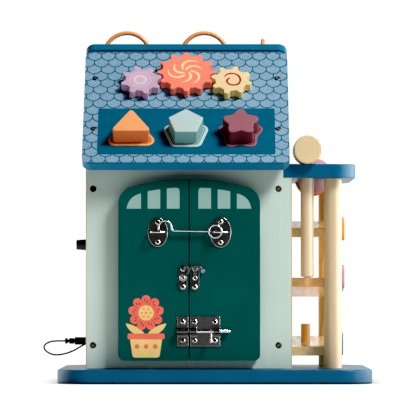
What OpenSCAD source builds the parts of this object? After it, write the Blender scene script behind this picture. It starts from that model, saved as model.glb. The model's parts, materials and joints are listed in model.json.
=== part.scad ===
// Activity house: a wooden play house with latched double doors, gears and
// shape blocks on the roof, bead arches behind the ridge and a ball tower.
// Millimetres, +Z up, front faces -Y, origin under the middle of the base.

/* [Base] */
// Width of the base board
base_w = 399.5; // [390:0.5:430]
// Depth of the base board
base_d = 312; // [306:1:340]
// Thickness of the base board
base_t = 18; // [14:0.5:18]
// Corner radius of the base board in plan
base_r = 41; // [20:1:44]

/* [House] */
// Left edge of the front panel
panel_x0 = -163.8; // [-165:0.1:-162]
// Right edge of the front panel
panel_x1 = 98; // [97:0.5:99]
// Thickness of the front and back panels
panel_t = 12; // [10:0.5:12]
// Thickness of the gable walls
wall_t = 12; // [10:0.5:12]
// Front plane of the front panel
front_y = -114; // [-114:0.5:-113]
// Rear plane of the back panel
back_y = 136; // [132:0.5:138]

/* [Roof] */
// Slope of both roof boards in degrees
roof_a = 46; // [46:0.5:46.5]
// Thickness of the roof boards
roof_t = 11.5; // [10.5:0.25:11.5]
// Width of the roof boards
roof_w = 262.8; // [258:0.2:264]
// Height of the lower edge of the front board's face
eave_z = 278; // [278:0.5:279]
// Corner radius of the roof boards
roof_r = 12; // [6:0.5:16]

/* [Doors] */
// Thickness of a door
door_t = 12; // [11:0.5:13]
// Gap between the front panel and the doors
door_gap = 3; // [3:0.1:3.2]
// Height of the top of the door arch
door_top = 259.4; // [256:0.2:262]
// Height of the lower edge of the doors
door_z0 = 29; // [26:0.5:32]

/* [Toys] */
// Distance between the middle gear and each side gear
gear_c = 60; // [60:0.1:61]
// Thickness of a gear
gear_t = 11; // [7:0.5:12]
// Height of the shape blocks above the roof
block_h = 21.5; // [16:0.5:28]
// Radius of a ball
ball_r = 23; // [20:0.5:23]
// Radius of the mallet head
head_r = 18; // [14:0.5:18]
// Radius of the mallet handle
handle_r = 8.4; // [7:0.1:8.6]

/* [Tower] */
// Thickness of the tower plate
plate_t = 17.7; // [16:0.1:18.5]
// Underside of the tower plate
plate_z = 261; // [261:0.5:262]
// Radius of the posts
post_r = 11.4; // [10:0.1:11.4]
// Thickness of the ramps
ramp_t = 11.5; // [8:0.5:11.5]

/* [Hidden] */
$fn = 48;

// walls
left_x0 = -160.6;
right_x1 = 87;
house_c = (left_x0 + right_x1) / 2;
in_y0 = front_y + panel_t;
in_y1 = back_y - panel_t;
ridge_y = (front_y + back_y) / 2;
// roof
ca = cos(roof_a);
sa = sin(roof_a);
ta = tan(roof_a);
roof_cx = house_c;
eave_y = ridge_y - 156;
slope_l = 156 / ca;
under_z = eave_z + 156 * ta - roof_t / ca;
front_len = slope_l - roof_t - 1.4;
back_s0 = 17;
// doors
door_mid = -32.5;
door_half = 89.8;
seam = 0.5;
door_yb = front_y - door_gap;
door_yf = door_yb - door_t;
arch_r = 260;
arch_c = door_top - arch_r;
corner_r = 22;
corner_x = door_half - corner_r;
corner_z = arch_c + sqrt(pow(arch_r - corner_r, 2) - pow(corner_x, 2));
hinge_dx = door_half - 2.6;
hinge_y = door_yb;
knuckle_r = 2.4;
hinge_zs = [42, 190];
hinge_l = 30;
// hardware on the doors
plate_d = 1.4;
hw_y = door_yf - plate_d;
hook_z = 191.6;
catch_x = -72.3;
hookp_x = 7.2;
eye = [0.5, 192.6];
hook_y = hw_y - 3.6;
hook_lift = 5;
latch_z = 133.7;
stud_x = -40.3;
pivot_x = -25.2;
bolt_z = 66.2;
rod_r = 2.6;
rod_y = hw_y - rod_r - 0.3;
// roof toys
gear_line = 15;
gear_s = 143.4;
gear_dx = gear_c * cos(gear_line);
gear_ds = gear_c * sin(gear_line);
gear_w0 = 1;
block_dx = 69.6;
rim_h = 1.2;
pin_r = 3;
arch_wr = 2.75;
arch_rr = 30.5;
arch_y = 37;
arch_top = 456.4;
arch_cz = arch_top - arch_rr;
arch_xs = [-115.1, -13.4];
side_rr = 25;
side_y = 61;
side_cz = 423.3;
side_x = 63.7;
bead_r = 8;
bead_l = 13;
// tower
plate_x1 = 179.6;
plate_r = 29;
plate_y1 = 122;
post_x = 150.8;
post_ys = [front_y + 22, front_y + 216];
ramp_y0 = post_ys[0] + post_r + 1;
ramp_y1 = post_ys[1] - post_r - 1;
rail_x = post_x + post_r;
mallet_x = 118;
mallet_y = front_y + 21;
ball_x = 129;
ball_ys = [front_y + 74, front_y + 180];
ball_z = 265.5;
// left wall fittings
fit_y = -30;
lens_z = 231;
knob_z = 177;
jack_z = 52.8;
jack_y = -40;
lead_r = 1.0;
lead_route = [[-152, -20, 50.8], [-158, -20, 50.8], [-163, -20, 50.4], [-167, -20.2, 48.8], [-171, -20.8, 46.8],
  [-176, -22, 44], [-181, -23.5, 41], [-187, -25.5, 38.3], [-193, -27.5, 36.3], [-199, -29.5, 35.1],
  [-205, -31.5, 34.7], [-211, -33.5, 35.7], [-216, -35.5, 38.2], [-219.5, -37.2, 41.8], [-220.3, -38.5, 45.8],
  [-217.5, -39.4, 49.3], [-212.5, -39.9, 51.6], [-206, -40, 52.6], [-200, -40, 52.8], [-193.3, -40, 52.8]];

// place children in the frame of the front roof board: x, up the slope, outward
module on_roof() { translate([0, eave_y, eave_z]) rotate([roof_a, 0, 0]) children(); }
// the same for the rear board
module on_back() { translate([0, 2 * ridge_y - eave_y, eave_z]) mirror([0, 1, 0]) rotate([roof_a, 0, 0]) children(); }
// draw a plan in X-Z and thicken it from y0 towards +Y
module upright(y0, t) { translate([0, y0 + t, 0]) rotate([90, 0, 0]) linear_extrude(t) children(); }
// rectangle with round corners, given by its lower left and upper right corners
module rrect(x0, y0, x1, y1, r) {
  translate([x0 + r, y0]) square([x1 - x0 - 2 * r, y1 - y0]);
  translate([x0, y0 + r]) square([x1 - x0, y1 - y0 - 2 * r]);
  for (x = [x0 + r, x1 - r], y = [y0 + r, y1 - r]) translate([x, y]) circle(r);
}
// cylinder along -Y (towards the viewer), from y0
module ycyl(x, y0, z, r, l) { translate([x, y0, z]) rotate([90, 0, 0]) cylinder(r = r, h = l); }
// cylinder along +X from x0
module xcyl(x0, y, z, r, l) { translate([x0, y, z]) rotate([0, 90, 0]) cylinder(r = r, h = l); }
function ellipse(a, b, n = 64) = [for (i = [0 : n - 1]) [a * cos(360 * i / n), b * sin(360 * i / n)]];

// ---------------------------------------------------------------- house shell
module base_board() color([0.0, 0.36, 0.50])
  linear_extrude(base_t) rrect(-base_w / 2, -base_d / 2, base_w / 2, base_d / 2, base_r);

panel_top = under_z - (ridge_y - front_y) * ta - 0.4;
screw_xs = [-154.6, 81];
screw_zs = [48.4, 247];
module front_panel() color([0.74, 0.81, 0.76]) difference() {
  upright(front_y, panel_t) translate([panel_x0, base_t]) square([panel_x1 - panel_x0, panel_top - base_t]);
  upright(front_y - 1, panel_t + 2) rrect(-103, 34, 38, 236, 10);
  translate([right_x1 - 0.02, front_y - 1, plate_z]) cube([20, panel_t + 2, panel_top - plate_z + 1]);
  for (x = screw_xs, z = screw_zs) ycyl(x, front_y + panel_t + 1, z, 2.1, panel_t + 2);
  for (x = screw_xs, z = screw_zs) ycyl(x, front_y + 0.9, z, 4.1, 2);
}
module gable(x0) difference() {
  translate([x0, 0, 0]) rotate([90, 0, 90]) linear_extrude(wall_t)
    polygon([[in_y0, base_t], [in_y1, base_t], [in_y1, under_z - (in_y1 - ridge_y) * ta],
             [ridge_y, under_z], [in_y0, under_z - (ridge_y - in_y0) * ta]]);
  for (z = screw_zs) ycyl(x0 < 0 ? screw_xs[0] : screw_xs[1], in_y0 + 16, z, 2.1, 17);
  for (s = roof_screw_s) on_roof() translate([x0 < 0 ? screw_xs[0] : screw_xs[1], s, -roof_t - 16]) cylinder(r = 2.1, h = 17);
}
module left_wall() color([0.74, 0.81, 0.76]) difference() {
  gable(left_x0);
  xcyl(left_x0 - 1, fit_y, lens_z, 5, wall_t + 2);
  xcyl(left_x0 - 1, fit_y, knob_z, 4, wall_t + 2);
  xcyl(left_x0 - 1, jack_y, jack_z, 4.5, wall_t + 2);
  xcyl(left_x0 - 1, -20, 50.8, 1.15, wall_t + 2);
}
module right_wall() color([0.74, 0.81, 0.76]) gable(right_x1 - wall_t);
module back_panel() color([0.74, 0.81, 0.76])
  upright(in_y1, panel_t) translate([left_x0, base_t]) square([right_x1 - left_x0, panel_top - base_t]);

roof_screw_s = [64, 159];
module roof_front() color([0.53, 0.65, 0.75]) difference() {
  on_roof() translate([0, 0, -roof_t]) linear_extrude(roof_t)
    rrect(roof_cx - roof_w / 2, 0, roof_cx + roof_w / 2, front_len, roof_r);
  on_roof() {
    for (x = screw_xs, s = roof_screw_s) translate([x, s, -roof_t - 1]) cylinder(r = 2.1, h = roof_t + 2);
    for (x = screw_xs, s = roof_screw_s) translate([x, s, -0.9]) cylinder(r = 4.1, h = 2);
    for (g = gears) translate([g[0], g[1], -roof_t - 1]) cylinder(r = pin_r, h = roof_t + 2);
  }
}
module roof_back() color([0.0, 0.36, 0.50]) difference() {
  on_back() translate([0, 0, -roof_t]) linear_extrude(roof_t)
    rrect(roof_cx - roof_w / 2, back_s0, roof_cx + roof_w / 2, slope_l + 0.9, roof_r);
  for (f = arch_feet) translate([f[0], f[1], back_face(f[1]) - 7]) cylinder(r = arch_wr + 0.05, h = 30);
}
module panel_screws() color([0.12, 0.12, 0.13]) {
  for (x = screw_xs, z = screw_zs) {
    ycyl(x, front_y + 0.85, z, 4, 1.2);
    ycyl(x, in_y0 + 15, z, 2, panel_t + 14.5);
  }
  on_roof() for (x = screw_xs, s = roof_screw_s) {
    translate([x, s, -0.85]) cylinder(r = 4, h = 1.2);
    translate([x, s, -roof_t - 15]) cylinder(r = 2, h = roof_t + 14.5);
  }
}

// ---------------------------------------------------------------- gears
gears = [[roof_cx - gear_dx, gear_s], [roof_cx, gear_s + gear_ds], [roof_cx + gear_dx, gear_s]];
function ramp01(u) = u <= -1 ? 0 : u >= 1 ? 1 : 0.5 + 0.75 * u - 0.25 * u * u * u;
// one point of a gear outline: f runs 0..1 across one tooth pitch, tooth at 0.5
function tooth_r(f, r0, r1, w, d) = r0 + (r1 - r0) * ramp01((w - abs(f - 0.5)) / d);
function gear_pts(n, r0, r1, w, d, k = 28) = [for (i = [0 : n * k - 1])
  let (f = (i % k) / k, a = (i / k - 0.5) * 360 / n, r = tooth_r(f, r0, r1, w, d)) [r * cos(a), r * sin(a)]];
module gear_body(n, r0, r1, w, d, phase) difference() {
  translate([0, 0, gear_w0]) rotate(phase) linear_extrude(gear_t) polygon(gear_pts(n, r0, r1, w, d));
  translate([0, 0, gear_w0 - 1]) cylinder(r = pin_r + 0.05, h = gear_t - 1.5);
}
module gear_left() color([0.79, 0.65, 0.75]) on_roof() translate([gears[0][0], gears[0][1], 0])
  gear_body(8, 20.4, 26.6, 0.2, 0.13, gear_line);
module gear_middle() color([1.0, 0.51, 0.42]) on_roof() translate([gears[1][0], gears[1][1], 0])
  gear_body(12, 31.3, 37.5, 0.2, 0.13, 0);
module gear_right() color([0.94, 0.81, 0.52]) on_roof() translate([gears[2][0], gears[2][1], 0])
  gear_body(8, 20.4, 26.6, 0.2, 0.13, 180 - gear_line);
module gear_pins() color([0.55, 0.55, 0.56]) on_roof() for (g = gears)
  translate([g[0], g[1], -roof_t]) cylinder(r = pin_r, h = roof_t + gear_w0 + gear_t - 3);

// ---------------------------------------------------------------- shape blocks
block_s = 57;
// arc of points about c, from angle a0 to a1
function arc(c, r, a0, a1, m) = [for (k = [0 : m]) let (t = a0 + (a1 - a0) * k / m) c + r * [cos(t), sin(t)]];
// convex outline with round corners: p are the corner centres, anticlockwise
function round_pts(p, r, m = 12) = let (n = len(p)) [for (i = [0 : n - 1])
  let (u = p[i] - p[(i + n - 1) % n], v = p[(i + 1) % n] - p[i], t = atan2(u[1], u[0]) - 90,
       d = (atan2(v[1], v[0]) - 90 - t + 720) % 360) each arc(p[i], r, t, t + d, m)];
module rpoly(p, r) polygon(round_pts(p, r));
tri_pts = [[-19.6, -15.3], [19.6, -15.3], [0, 15.7]];
penta_pts = [for (i = [0 : 4]) 20.3 * [cos(90 + 72 * i), sin(90 + 72 * i)] + [0, -1.9]];
function star_r(a, g) = let (t = abs(((a - 90 + 36 + 720) % 72) - 36) / 36, u = 1 - t * t * (3 - 2 * t)) 16.4 + 6.9 * pow(u, 1.15) + g;
function star_pts(g, n = 120) = [for (i = [0 : n - 1]) let (a = 360 * i / n) star_r(a, g) * [cos(a), sin(a)] + [0, -1.7]];
module tri(g) rpoly(tri_pts, 3.5 + g);
module penta(g) rpoly(penta_pts, 2.6 + g);
module star(g) polygon(star_pts(g));
module rim_ring(x) on_roof() translate([x, block_s, 0]) linear_extrude(rim_h) difference() { children(0); children(1); }
module triangle_rim() color([0.98, 0.6, 0.32]) rim_ring(roof_cx - block_dx) { tri(6.3); tri(0.5); }
module pentagon_rim() color([0.74, 0.82, 0.78]) rim_ring(roof_cx) { penta(6.4); penta(0.5); }
module star_rim() color([0.66, 0.38, 0.43]) rim_ring(roof_cx + block_dx) { star(6.2); star(0.5); }
module seated(x) on_roof() translate([x, block_s, 0]) linear_extrude(block_h) children();
module triangle_block() color([0.98, 0.65, 0.40]) seated(roof_cx - block_dx) tri(0);
module pentagon_block() color([0.74, 0.82, 0.78]) seated(roof_cx) penta(0);
module star_block() color([0.66, 0.40, 0.45]) seated(roof_cx + block_dx) star(0);

// ---------------------------------------------------------------- bead arches
function back_face(y) = eave_z + (2 * ridge_y - eave_y - y) * ta;
arch_feet = [[arch_xs[0] - arch_rr, arch_y], [arch_xs[0] + arch_rr, arch_y],
  [arch_xs[1] - arch_rr, arch_y], [arch_xs[1] + arch_rr, arch_y],
  [side_x, side_y - side_rr], [side_x, side_y + side_rr]];
module leg(x, y, z1) translate([x, y, back_face(y) - 6.5]) cylinder(r = arch_wr, h = z1 - back_face(y) + 6.5);
module half_ring(r, wr) rotate_extrude(angle = 180) translate([r, 0]) circle(wr);
module arch_wires() color([0.93, 0.55, 0.24]) {
  for (x = arch_xs) {
    translate([x, arch_y, arch_cz]) rotate([90, 0, 0]) half_ring(arch_rr, arch_wr);
    for (d = [-1, 1]) leg(x + d * arch_rr, arch_y, arch_cz);
  }
  translate([side_x, side_y, side_cz]) rotate([90, 0, 90]) half_ring(side_rr, arch_wr);
  for (d = [-1, 1]) leg(side_x, side_y + d * side_rr, side_cz);
}
// round bead with a straight bore along Z, wide enough to ride round the bend
module bead() difference() {
  intersection() { sphere(bead_r); cylinder(r = bead_r + 1, h = bead_l, center = true); }
  cylinder(r = arch_wr + 1.35, h = 40, center = true);
}
module bead_left() color([0.95, 0.78, 0.45]) translate([arch_xs[0] - arch_rr, arch_y, arch_cz]) bead();
module bead_middle() color([0.55, 0.72, 0.68]) translate([arch_xs[1] + arch_rr, arch_y, arch_cz]) bead();
module bead_right() color([0.80, 0.45, 0.45]) translate([side_x, side_y, side_cz]) rotate([165, 0, 0]) translate([0, side_rr, 0]) bead();

// ---------------------------------------------------------------- ball tower
module tower_plate() color([0.0, 0.36, 0.50]) difference() {
  translate([0, 0, plate_z]) linear_extrude(plate_t) difference() {
    union() {
      rrect(right_x1 + 30, front_y, plate_x1, plate_y1, plate_r);
      translate([right_x1, front_y]) square([60, plate_y1 - front_y]);
    }
    for (y = ball_ys) translate([ball_x, y]) circle(ball_r + 0.4);
    translate([mallet_x, mallet_y]) circle(handle_r + 0.8);
  }
}
module post(x, y) translate([x, y, base_t]) cylinder(r = post_r, h = plate_z - base_t);
module front_post() color([0.88, 0.78, 0.60]) post(post_x, post_ys[0]);
module rear_post() color([0.88, 0.78, 0.60]) post(post_x - 0.8, post_ys[1]);
// board from the house wall to the rail; z0 and z1 are its top at the front and rear ends
module ramp(z0, z1) translate([right_x1, 0, 0]) rotate([90, 0, 90]) linear_extrude(rail_x - right_x1)
  polygon([[ramp_y0, z0 - ramp_t], [ramp_y1, z1 - ramp_t], [ramp_y1, z1], [ramp_y0, z0]]);
// thin side board along the outer edge of its ramp, t thick and h high
module rail(z0, z1, t = 3.7, h = 25) let (g = (z1 - z0) / (ramp_y1 - ramp_y0), ya = ramp_y0 - 6, yb = ramp_y1 + 22,
    za = z0 - 6 * g - 15, zb = z1 + 22 * g - 15)
  translate([rail_x, 0, 0]) rotate([90, 0, 90]) linear_extrude(t)
    rpoly([[ya + 9, za + 9], [yb - 9, zb + 9], [yb - 9, zb + h - 9], [ya + 9, za + h - 9]], 9);
module upper_ramp() color([0.88, 0.74, 0.52]) ramp(197.6, 209.9);
module middle_ramp() color([0.88, 0.74, 0.52]) ramp(134.2, 121.1);
module lower_ramp() color([0.88, 0.74, 0.52]) difference() {
  ramp(46.1, 57.4);
  ycylz(stop_x, 6, stop_z - 5, stop_r + 0.05, 40);
}
module ycylz(x, y, z, r, l) translate([x, y, z]) cylinder(r = r, h = l);
stop_x = 118.5;
stop_r = 5.9;
stop_z = 46.1 + (57.4 - 46.1) * (6 - ramp_y0) / (ramp_y1 - ramp_y0);
module ball_stop() color([0.85, 0.58, 0.25]) ycylz(stop_x, 6, stop_z - 5, stop_r, 27.5);
module upper_rail() color([0.95, 0.58, 0.22]) rail(197.3, 209.8, h = 28.2);
module middle_rail() color([0.80, 0.62, 0.72]) rail(135.3, 120.8, h = 29.8);
module lower_rail() color([0.05, 0.42, 0.56]) rail(50.3, 61.8, t = 1.8, h = 28.6);
module ball(y) translate([ball_x, y, ball_z]) sphere(ball_r);
module ball_mauve() color([0.80, 0.60, 0.70]) ball(ball_ys[0]);
module ball_orange() color([0.90, 0.50, 0.20]) ball(ball_ys[1]);
head_z = plate_z + plate_t + head_r + 0.02;
module mallet_head() color([0.88, 0.76, 0.55]) difference() {
  translate([mallet_x, mallet_y - 31, head_z]) rotate([-90, 0, 0]) union() {
    cylinder(r1 = head_r - 1.2, r2 = head_r, h = 1.2);
    translate([0, 0, 1.2]) cylinder(r = head_r, h = 59.6);
    translate([0, 0, 60.8]) cylinder(r1 = head_r, r2 = head_r - 1.2, h = 1.2);
  }
  translate([mallet_x, mallet_y, head_z - 40]) cylinder(r = handle_r, h = 46);
}
module mallet_handle() color([0.90, 0.80, 0.62]) translate([mallet_x, mallet_y, 135.3]) {
  translate([0, 0, -1.9]) cylinder(r = 4.6, h = 2);
  cylinder(r1 = handle_r - 1, r2 = handle_r, h = 1);
  translate([0, 0, 1]) cylinder(r = handle_r, h = head_z + 6 - 136.3);
}

// ---------------------------------------------------------------- doors
// outline of one door, s = -1 left or +1 right, as drawn in X-Z
module door_plan(s) let (t = atan2(corner_z - arch_c, corner_x)) translate([door_mid, 0]) mirror([s < 0 ? 1 : 0, 0]) polygon(concat(
  arc([seam + 2.5, door_z0 + 2.5], 2.5, 180, 270, 6), arc([door_half - 8, door_z0 + 8], 8, 270, 360, 12),
  arc([corner_x, corner_z], corner_r, 0, t, 18), arc([0, arch_c], arch_r, t + 0.5, acos(seam / arch_r), 20)));
module door(s) difference() {
  upright(door_yf, door_t) door_plan(s);
  for (z = hinge_zs) translate([door_mid + s * hinge_dx, hinge_y, z - 0.5]) cylinder(r = knuckle_r + 0.5, h = hinge_l + 1);
}
module left_door() color([0.0, 0.28, 0.27]) difference() {
  door(-1);
  for (p = left_screw_at) ycyl(p[0], door_yf + 8.6, p[1], 1.25, 9);
}
module right_door() color([0.0, 0.28, 0.27]) difference() {
  door(1);
  for (p = right_screw_at) ycyl(p[0], door_yf + 8.6, p[1], 1.25, 9);
}
// hinge leaf pieces: frame leaves carry the end knuckles, door leaves the middle one
module frame_leaf(s, z) difference() {
  union() {
    translate([s < 0 ? door_mid + s * hinge_dx : door_mid + s * hinge_dx - 13, front_y - 1, z]) cube([13, 1, hinge_l]);
    for (k = [0, 20.2]) translate([door_mid + s * hinge_dx, hinge_y, z + k]) cylinder(r = knuckle_r, h = 9.8);
  }
  translate([door_mid + s * hinge_dx, hinge_y, z + 9.8]) cylinder(r = knuckle_r + 0.4, h = 10.4);
  translate([door_mid + s * hinge_dx, hinge_y, z - 1]) cylinder(r = 1.0, h = hinge_l + 2);
}
module door_leaf(s, z) difference() {
  union() {
    translate([s < 0 ? door_mid + s * hinge_dx : door_mid + s * hinge_dx - 13, hinge_y, z]) cube([13, 1, hinge_l]);
    translate([door_mid + s * hinge_dx, hinge_y, z + 10.1]) cylinder(r = knuckle_r, h = 9.8);
  }
  for (k = [-1, 19.9]) translate([door_mid + s * hinge_dx, hinge_y, z + k]) cylinder(r = knuckle_r + 0.4, h = 11.1);
  translate([door_mid + s * hinge_dx, hinge_y, z - 1]) cylinder(r = 1.05, h = hinge_l + 2);
}
module hinge_frame_leaves() color([0.45, 0.45, 0.46]) for (s = [-1, 1], z = hinge_zs) frame_leaf(s, z);
module left_hinge_leaves() color([0.45, 0.45, 0.46]) for (z = hinge_zs) door_leaf(-1, z);
module right_hinge_leaves() color([0.45, 0.45, 0.46]) for (z = hinge_zs) door_leaf(1, z);
module hinge_pins() color([0.6, 0.6, 0.6]) for (s = [-1, 1], z = hinge_zs)
  translate([door_mid + s * hinge_dx, hinge_y, z]) cylinder(r = 1.0, h = hinge_l);

// screws: head on the plate, shank into the door
left_screw_at = [[catch_x, hook_z - 12.5], [catch_x, hook_z + 12.5], [stud_x, latch_z - 11.5], [stud_x, latch_z + 11.2],
  [-40.5, bolt_z - 11.9], [-40.5, bolt_z + 11.9]];
right_screw_at = [[hookp_x, hook_z - 13], [hookp_x, hook_z + 13], [pivot_x, latch_z - 11.5], [pivot_x, latch_z + 11.2],
  [-25.6, bolt_z - 11.9], [-25.6, bolt_z + 11.9], [0, bolt_z - 11.9], [0, bolt_z + 11.9]];
module screw_at(p) difference() {
  union() {
    translate([p[0], hw_y, p[1]]) rotate([90, 0, 0]) cylinder(r1 = 3.1, r2 = 2.1, h = 1.1);
    ycyl(p[0], door_yf + 8, p[1], 1.2, 8 + plate_d);
  }
  translate([p[0] - 2.4, hw_y - 1.3, p[1] - 0.35]) cube([4.8, 0.7, 0.7]);
  translate([p[0] - 0.35, hw_y - 1.3, p[1] - 2.4]) cube([0.7, 0.7, 4.8]);
}
module left_door_screws() color([0.7, 0.7, 0.7]) for (p = left_screw_at) screw_at(p);
module right_door_screws() color([0.7, 0.7, 0.7]) for (p = right_screw_at) screw_at(p);
module screw_bores(list) for (p = list) ycyl(p[0], door_yf + 1, p[1], 1.25, plate_d + 2);

// cabin hook: oval plates with a half-ring staple each, and the hook itself
module oval(x, a, b, list) difference() {
  upright(hw_y, plate_d) translate([x, hook_z]) polygon(ellipse(a, b));
  screw_bores(list);
}
module staple(x, r) translate([x, hw_y, hook_z]) rotate([0, 0, 180]) half_ring(r, 1.4);
module hook_catch() color([0.3, 0.29, 0.29]) { oval(catch_x, 12.7, 18.5, left_screw_at); staple(catch_x, 10.6); }
module hook_plate() color([0.3, 0.29, 0.29]) { oval(hookp_x, 13.4, 19.4, right_screw_at); staple(hookp_x, 10); }
hook_wr = 1.25;
// rod between two points of the hook's own plane (x, z)
module bar(a, b) let (d = b - a) translate([a[0], 0, a[1]]) rotate([0, 90 - atan2(d[1], d[0]), 0]) cylinder(r = hook_wr, h = norm(d));
module bend_ball(a) translate([a[0], 0, a[1]]) sphere(hook_wr);
module cabin_hook() color([0.75, 0.75, 0.76]) translate([eye[0], hook_y, eye[1]]) rotate([0, hook_lift, 0]) {
  rotate([90, 0, 0]) rotate_extrude() translate([8, 0]) circle(hook_wr);
  bar([-7.8, -0.7], [-55.6, -4.0]);
  bend_ball([-55.6, -4.0]);
  bar([-55.6, -4.0], [-55.6, -0.5]);
  translate([-63.7, 0, -0.5]) rotate([90, 0, 0]) half_ring(8.1, hook_wr);
  bar([-71.8, -5.1], [-71.8, -0.5]);
}

// swivel latch: a plate with a stud, a plate with a pivot, and the arm
module latch_plan(x) { translate([x - 5.4, latch_z - 10.6]) square([10.8, 21.2]);
  for (d = [-10.6, 10.6]) translate([x, latch_z + d]) circle(5.4); }
module latch_catch() color([0.32, 0.31, 0.31]) {
  difference() { upright(hw_y, plate_d) latch_plan(stud_x); screw_bores(left_screw_at); }
  ycyl(stud_x, hw_y, latch_z, 1.6, 3.6);
  ycyl(stud_x, hw_y - 3.6, latch_z, 2.6, 1.0);
}
module latch_plate() color([0.32, 0.31, 0.31]) {
  difference() { upright(hw_y, plate_d) latch_plan(pivot_x); screw_bores(right_screw_at); }
  ycyl(pivot_x, hw_y, latch_z, 1.6, 3.8);
  ycyl(pivot_x, hw_y - 3.8, latch_z, 3.0, 1.0);
}
arm_up = 40;
// arc of a flat band: centre c, radius r, width w, from angle a0 to a1
module band(c, r, w, a0, a1, n = 24) translate(c) polygon(concat(
  [for (i = [0 : n]) let (a = a0 + (a1 - a0) * i / n) (r + w / 2) * [cos(a), sin(a)]],
  [for (i = [n : -1 : 0]) let (a = a0 + (a1 - a0) * i / n) (r - w / 2) * [cos(a), sin(a)]]));
module latch_arm() color([0.5, 0.5, 0.5]) {
  difference() {
    upright(hw_y - 3.1, 1.6) translate([pivot_x, latch_z]) {
      circle(3.5);
      translate([-1.6, 0]) square([3.2, 13]);
      band([0.9, 3.5], 10.7, 2.8, 30, 150);
      band((pivot_x - stud_x) * [-cos(arm_up), sin(arm_up)], 4.4, 2.2, -60, 150);
    }
    ycyl(pivot_x, hw_y, latch_z, 1.65, 8);
  }
  ycyl(pivot_x + 10.2, hw_y - 1.5, latch_z + 8.8, 2.7, 6.5);
}

// barrel bolt: plate with two saddles, keeper, and the rod with its handle
module saddle(x0, x1, bore) difference() {
  union() {
    xcyl(x0, rod_y, bolt_z, 3.8, x1 - x0);
    translate([x0, rod_y, bolt_z - 3.8]) cube([x1 - x0, hw_y - rod_y + 0.2, 7.6]);
  }
  xcyl(x0 - 1, rod_y, bolt_z, bore, x1 - x0 + 2);
}
module bolt_plate() color([0.45, 0.44, 0.43]) {
  difference() {
    upright(hw_y, plate_d) rrect(-31.3, bolt_z - 19, 6.5, bolt_z + 19, 0.8);
    screw_bores(right_screw_at);
  }
  saddle(-31.3, -22.6, rod_r + 0.05);
  saddle(-2.1, 6.5, rod_r + 0.05);
}
module bolt_keeper() color([0.45, 0.44, 0.43]) {
  difference() {
    upright(hw_y, plate_d) rrect(-47.8, bolt_z - 19, -33.6, bolt_z + 19, 0.8);
    screw_bores(left_screw_at);
  }
  saddle(-47.8, -33.6, rod_r + 0.35);
}
handle_x = -4.8;
module barrel_bolt() color([0.8, 0.8, 0.8]) {
  xcyl(-31.2, rod_y, bolt_z, rod_r, 48.4);
  translate([17.2, rod_y, bolt_z]) sphere(rod_r);
  xcyl(-32, rod_y, bolt_z, rod_r - 0.6, 0.9);
  translate([handle_x, rod_y, bolt_z]) rotate([160, 0, 0]) cylinder(r = 1.3, h = 14.5);
  translate([handle_x, rod_y - 14.5 * sin(20), bolt_z - 14.5 * cos(20)]) sphere(1.7);
}

// ---------------------------------------------------------------- left wall fittings
module lamp_lens() color([0.93, 0.93, 0.90]) {
  xcyl(left_x0 - 1.2, fit_y, lens_z, 6.5, 1.2);
  intersection() {
    translate([left_x0 + 5, fit_y, lens_z]) sphere(8.2);
    xcyl(left_x0 - 5, fit_y, lens_z, 6.4, 3.9);
  }
  xcyl(left_x0, fit_y, lens_z, 4.9, wall_t + 6);
}
module switch_body() color([0.15, 0.15, 0.16]) {
  xcyl(left_x0, fit_y, knob_z, 3.9, wall_t);
  translate([left_x0 + wall_t, fit_y - 9, knob_z - 9]) cube([14, 18, 18]);
  xcyl(left_x0 - 9, fit_y, knob_z, 2.5, 9.1);
}
module switch_knob() color([0.08, 0.08, 0.09]) difference() {
  translate([left_x0 - 0.6, fit_y, knob_z]) rotate([0, -90, 0]) union() {
    cylinder(r = 7.5, h = 2);
    translate([0, 0, 2]) cylinder(r1 = 7.25, r2 = 6.2, h = 15.8);
  }
  xcyl(left_x0 - 9.6, fit_y, knob_z, 2.55, 9.6);
}
module jack_socket() color([0.15, 0.15, 0.16]) difference() {
  union() {
    xcyl(left_x0 - 2.4, jack_y, jack_z, 6, 2.4);
    xcyl(left_x0 - 0.1, jack_y, jack_z, 4.4, wall_t + 0.1);
    xcyl(left_x0 + wall_t, jack_y, jack_z, 6.5, 14);
  }
  xcyl(left_x0 - 3, jack_y, jack_z, 1.8, 18);
}
module jack_plug() color([0.08, 0.08, 0.09]) {
  xcyl(left_x0 - 2.4, jack_y, jack_z, 1.75, 16);
  xcyl(-180.9, jack_y, jack_z, 5, left_x0 - 2.4 + 180.9);
  xcyl(-188, jack_y, jack_z, 3.7, 6.6);
  xcyl(-193.3, jack_y, jack_z, 3.6, 3.5);
  xcyl(-190.5, jack_y, jack_z, 2.0, 12);
}
module battery_box() color([0.2, 0.2, 0.21])
  translate([left_x0 + wall_t, -5, 90]) rotate([90, 0, 90]) linear_extrude(20) rrect(0, 0, 62, 70, 4);
// round lead swept along its route, one ring of points per route point
function unit(v) = v / norm(v);
function tangent(p, i) = unit(i == 0 ? p[1] - p[0] : i == len(p) - 1 ? p[i] - p[i - 1] : p[i + 1] - p[i - 1]);
function lead_ring(p, i, n) = let (t = i == 0 || i == len(p) - 1 ? [1, 0, 0] * sign(tangent(p, i)[0]) : tangent(p, i), u = unit(cross([0, 1, 0], t)), v = cross(t, u))
  [for (k = [0 : n - 1]) p[i] + lead_r * (cos(360 * k / n) * u + sin(360 * k / n) * v)];
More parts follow.
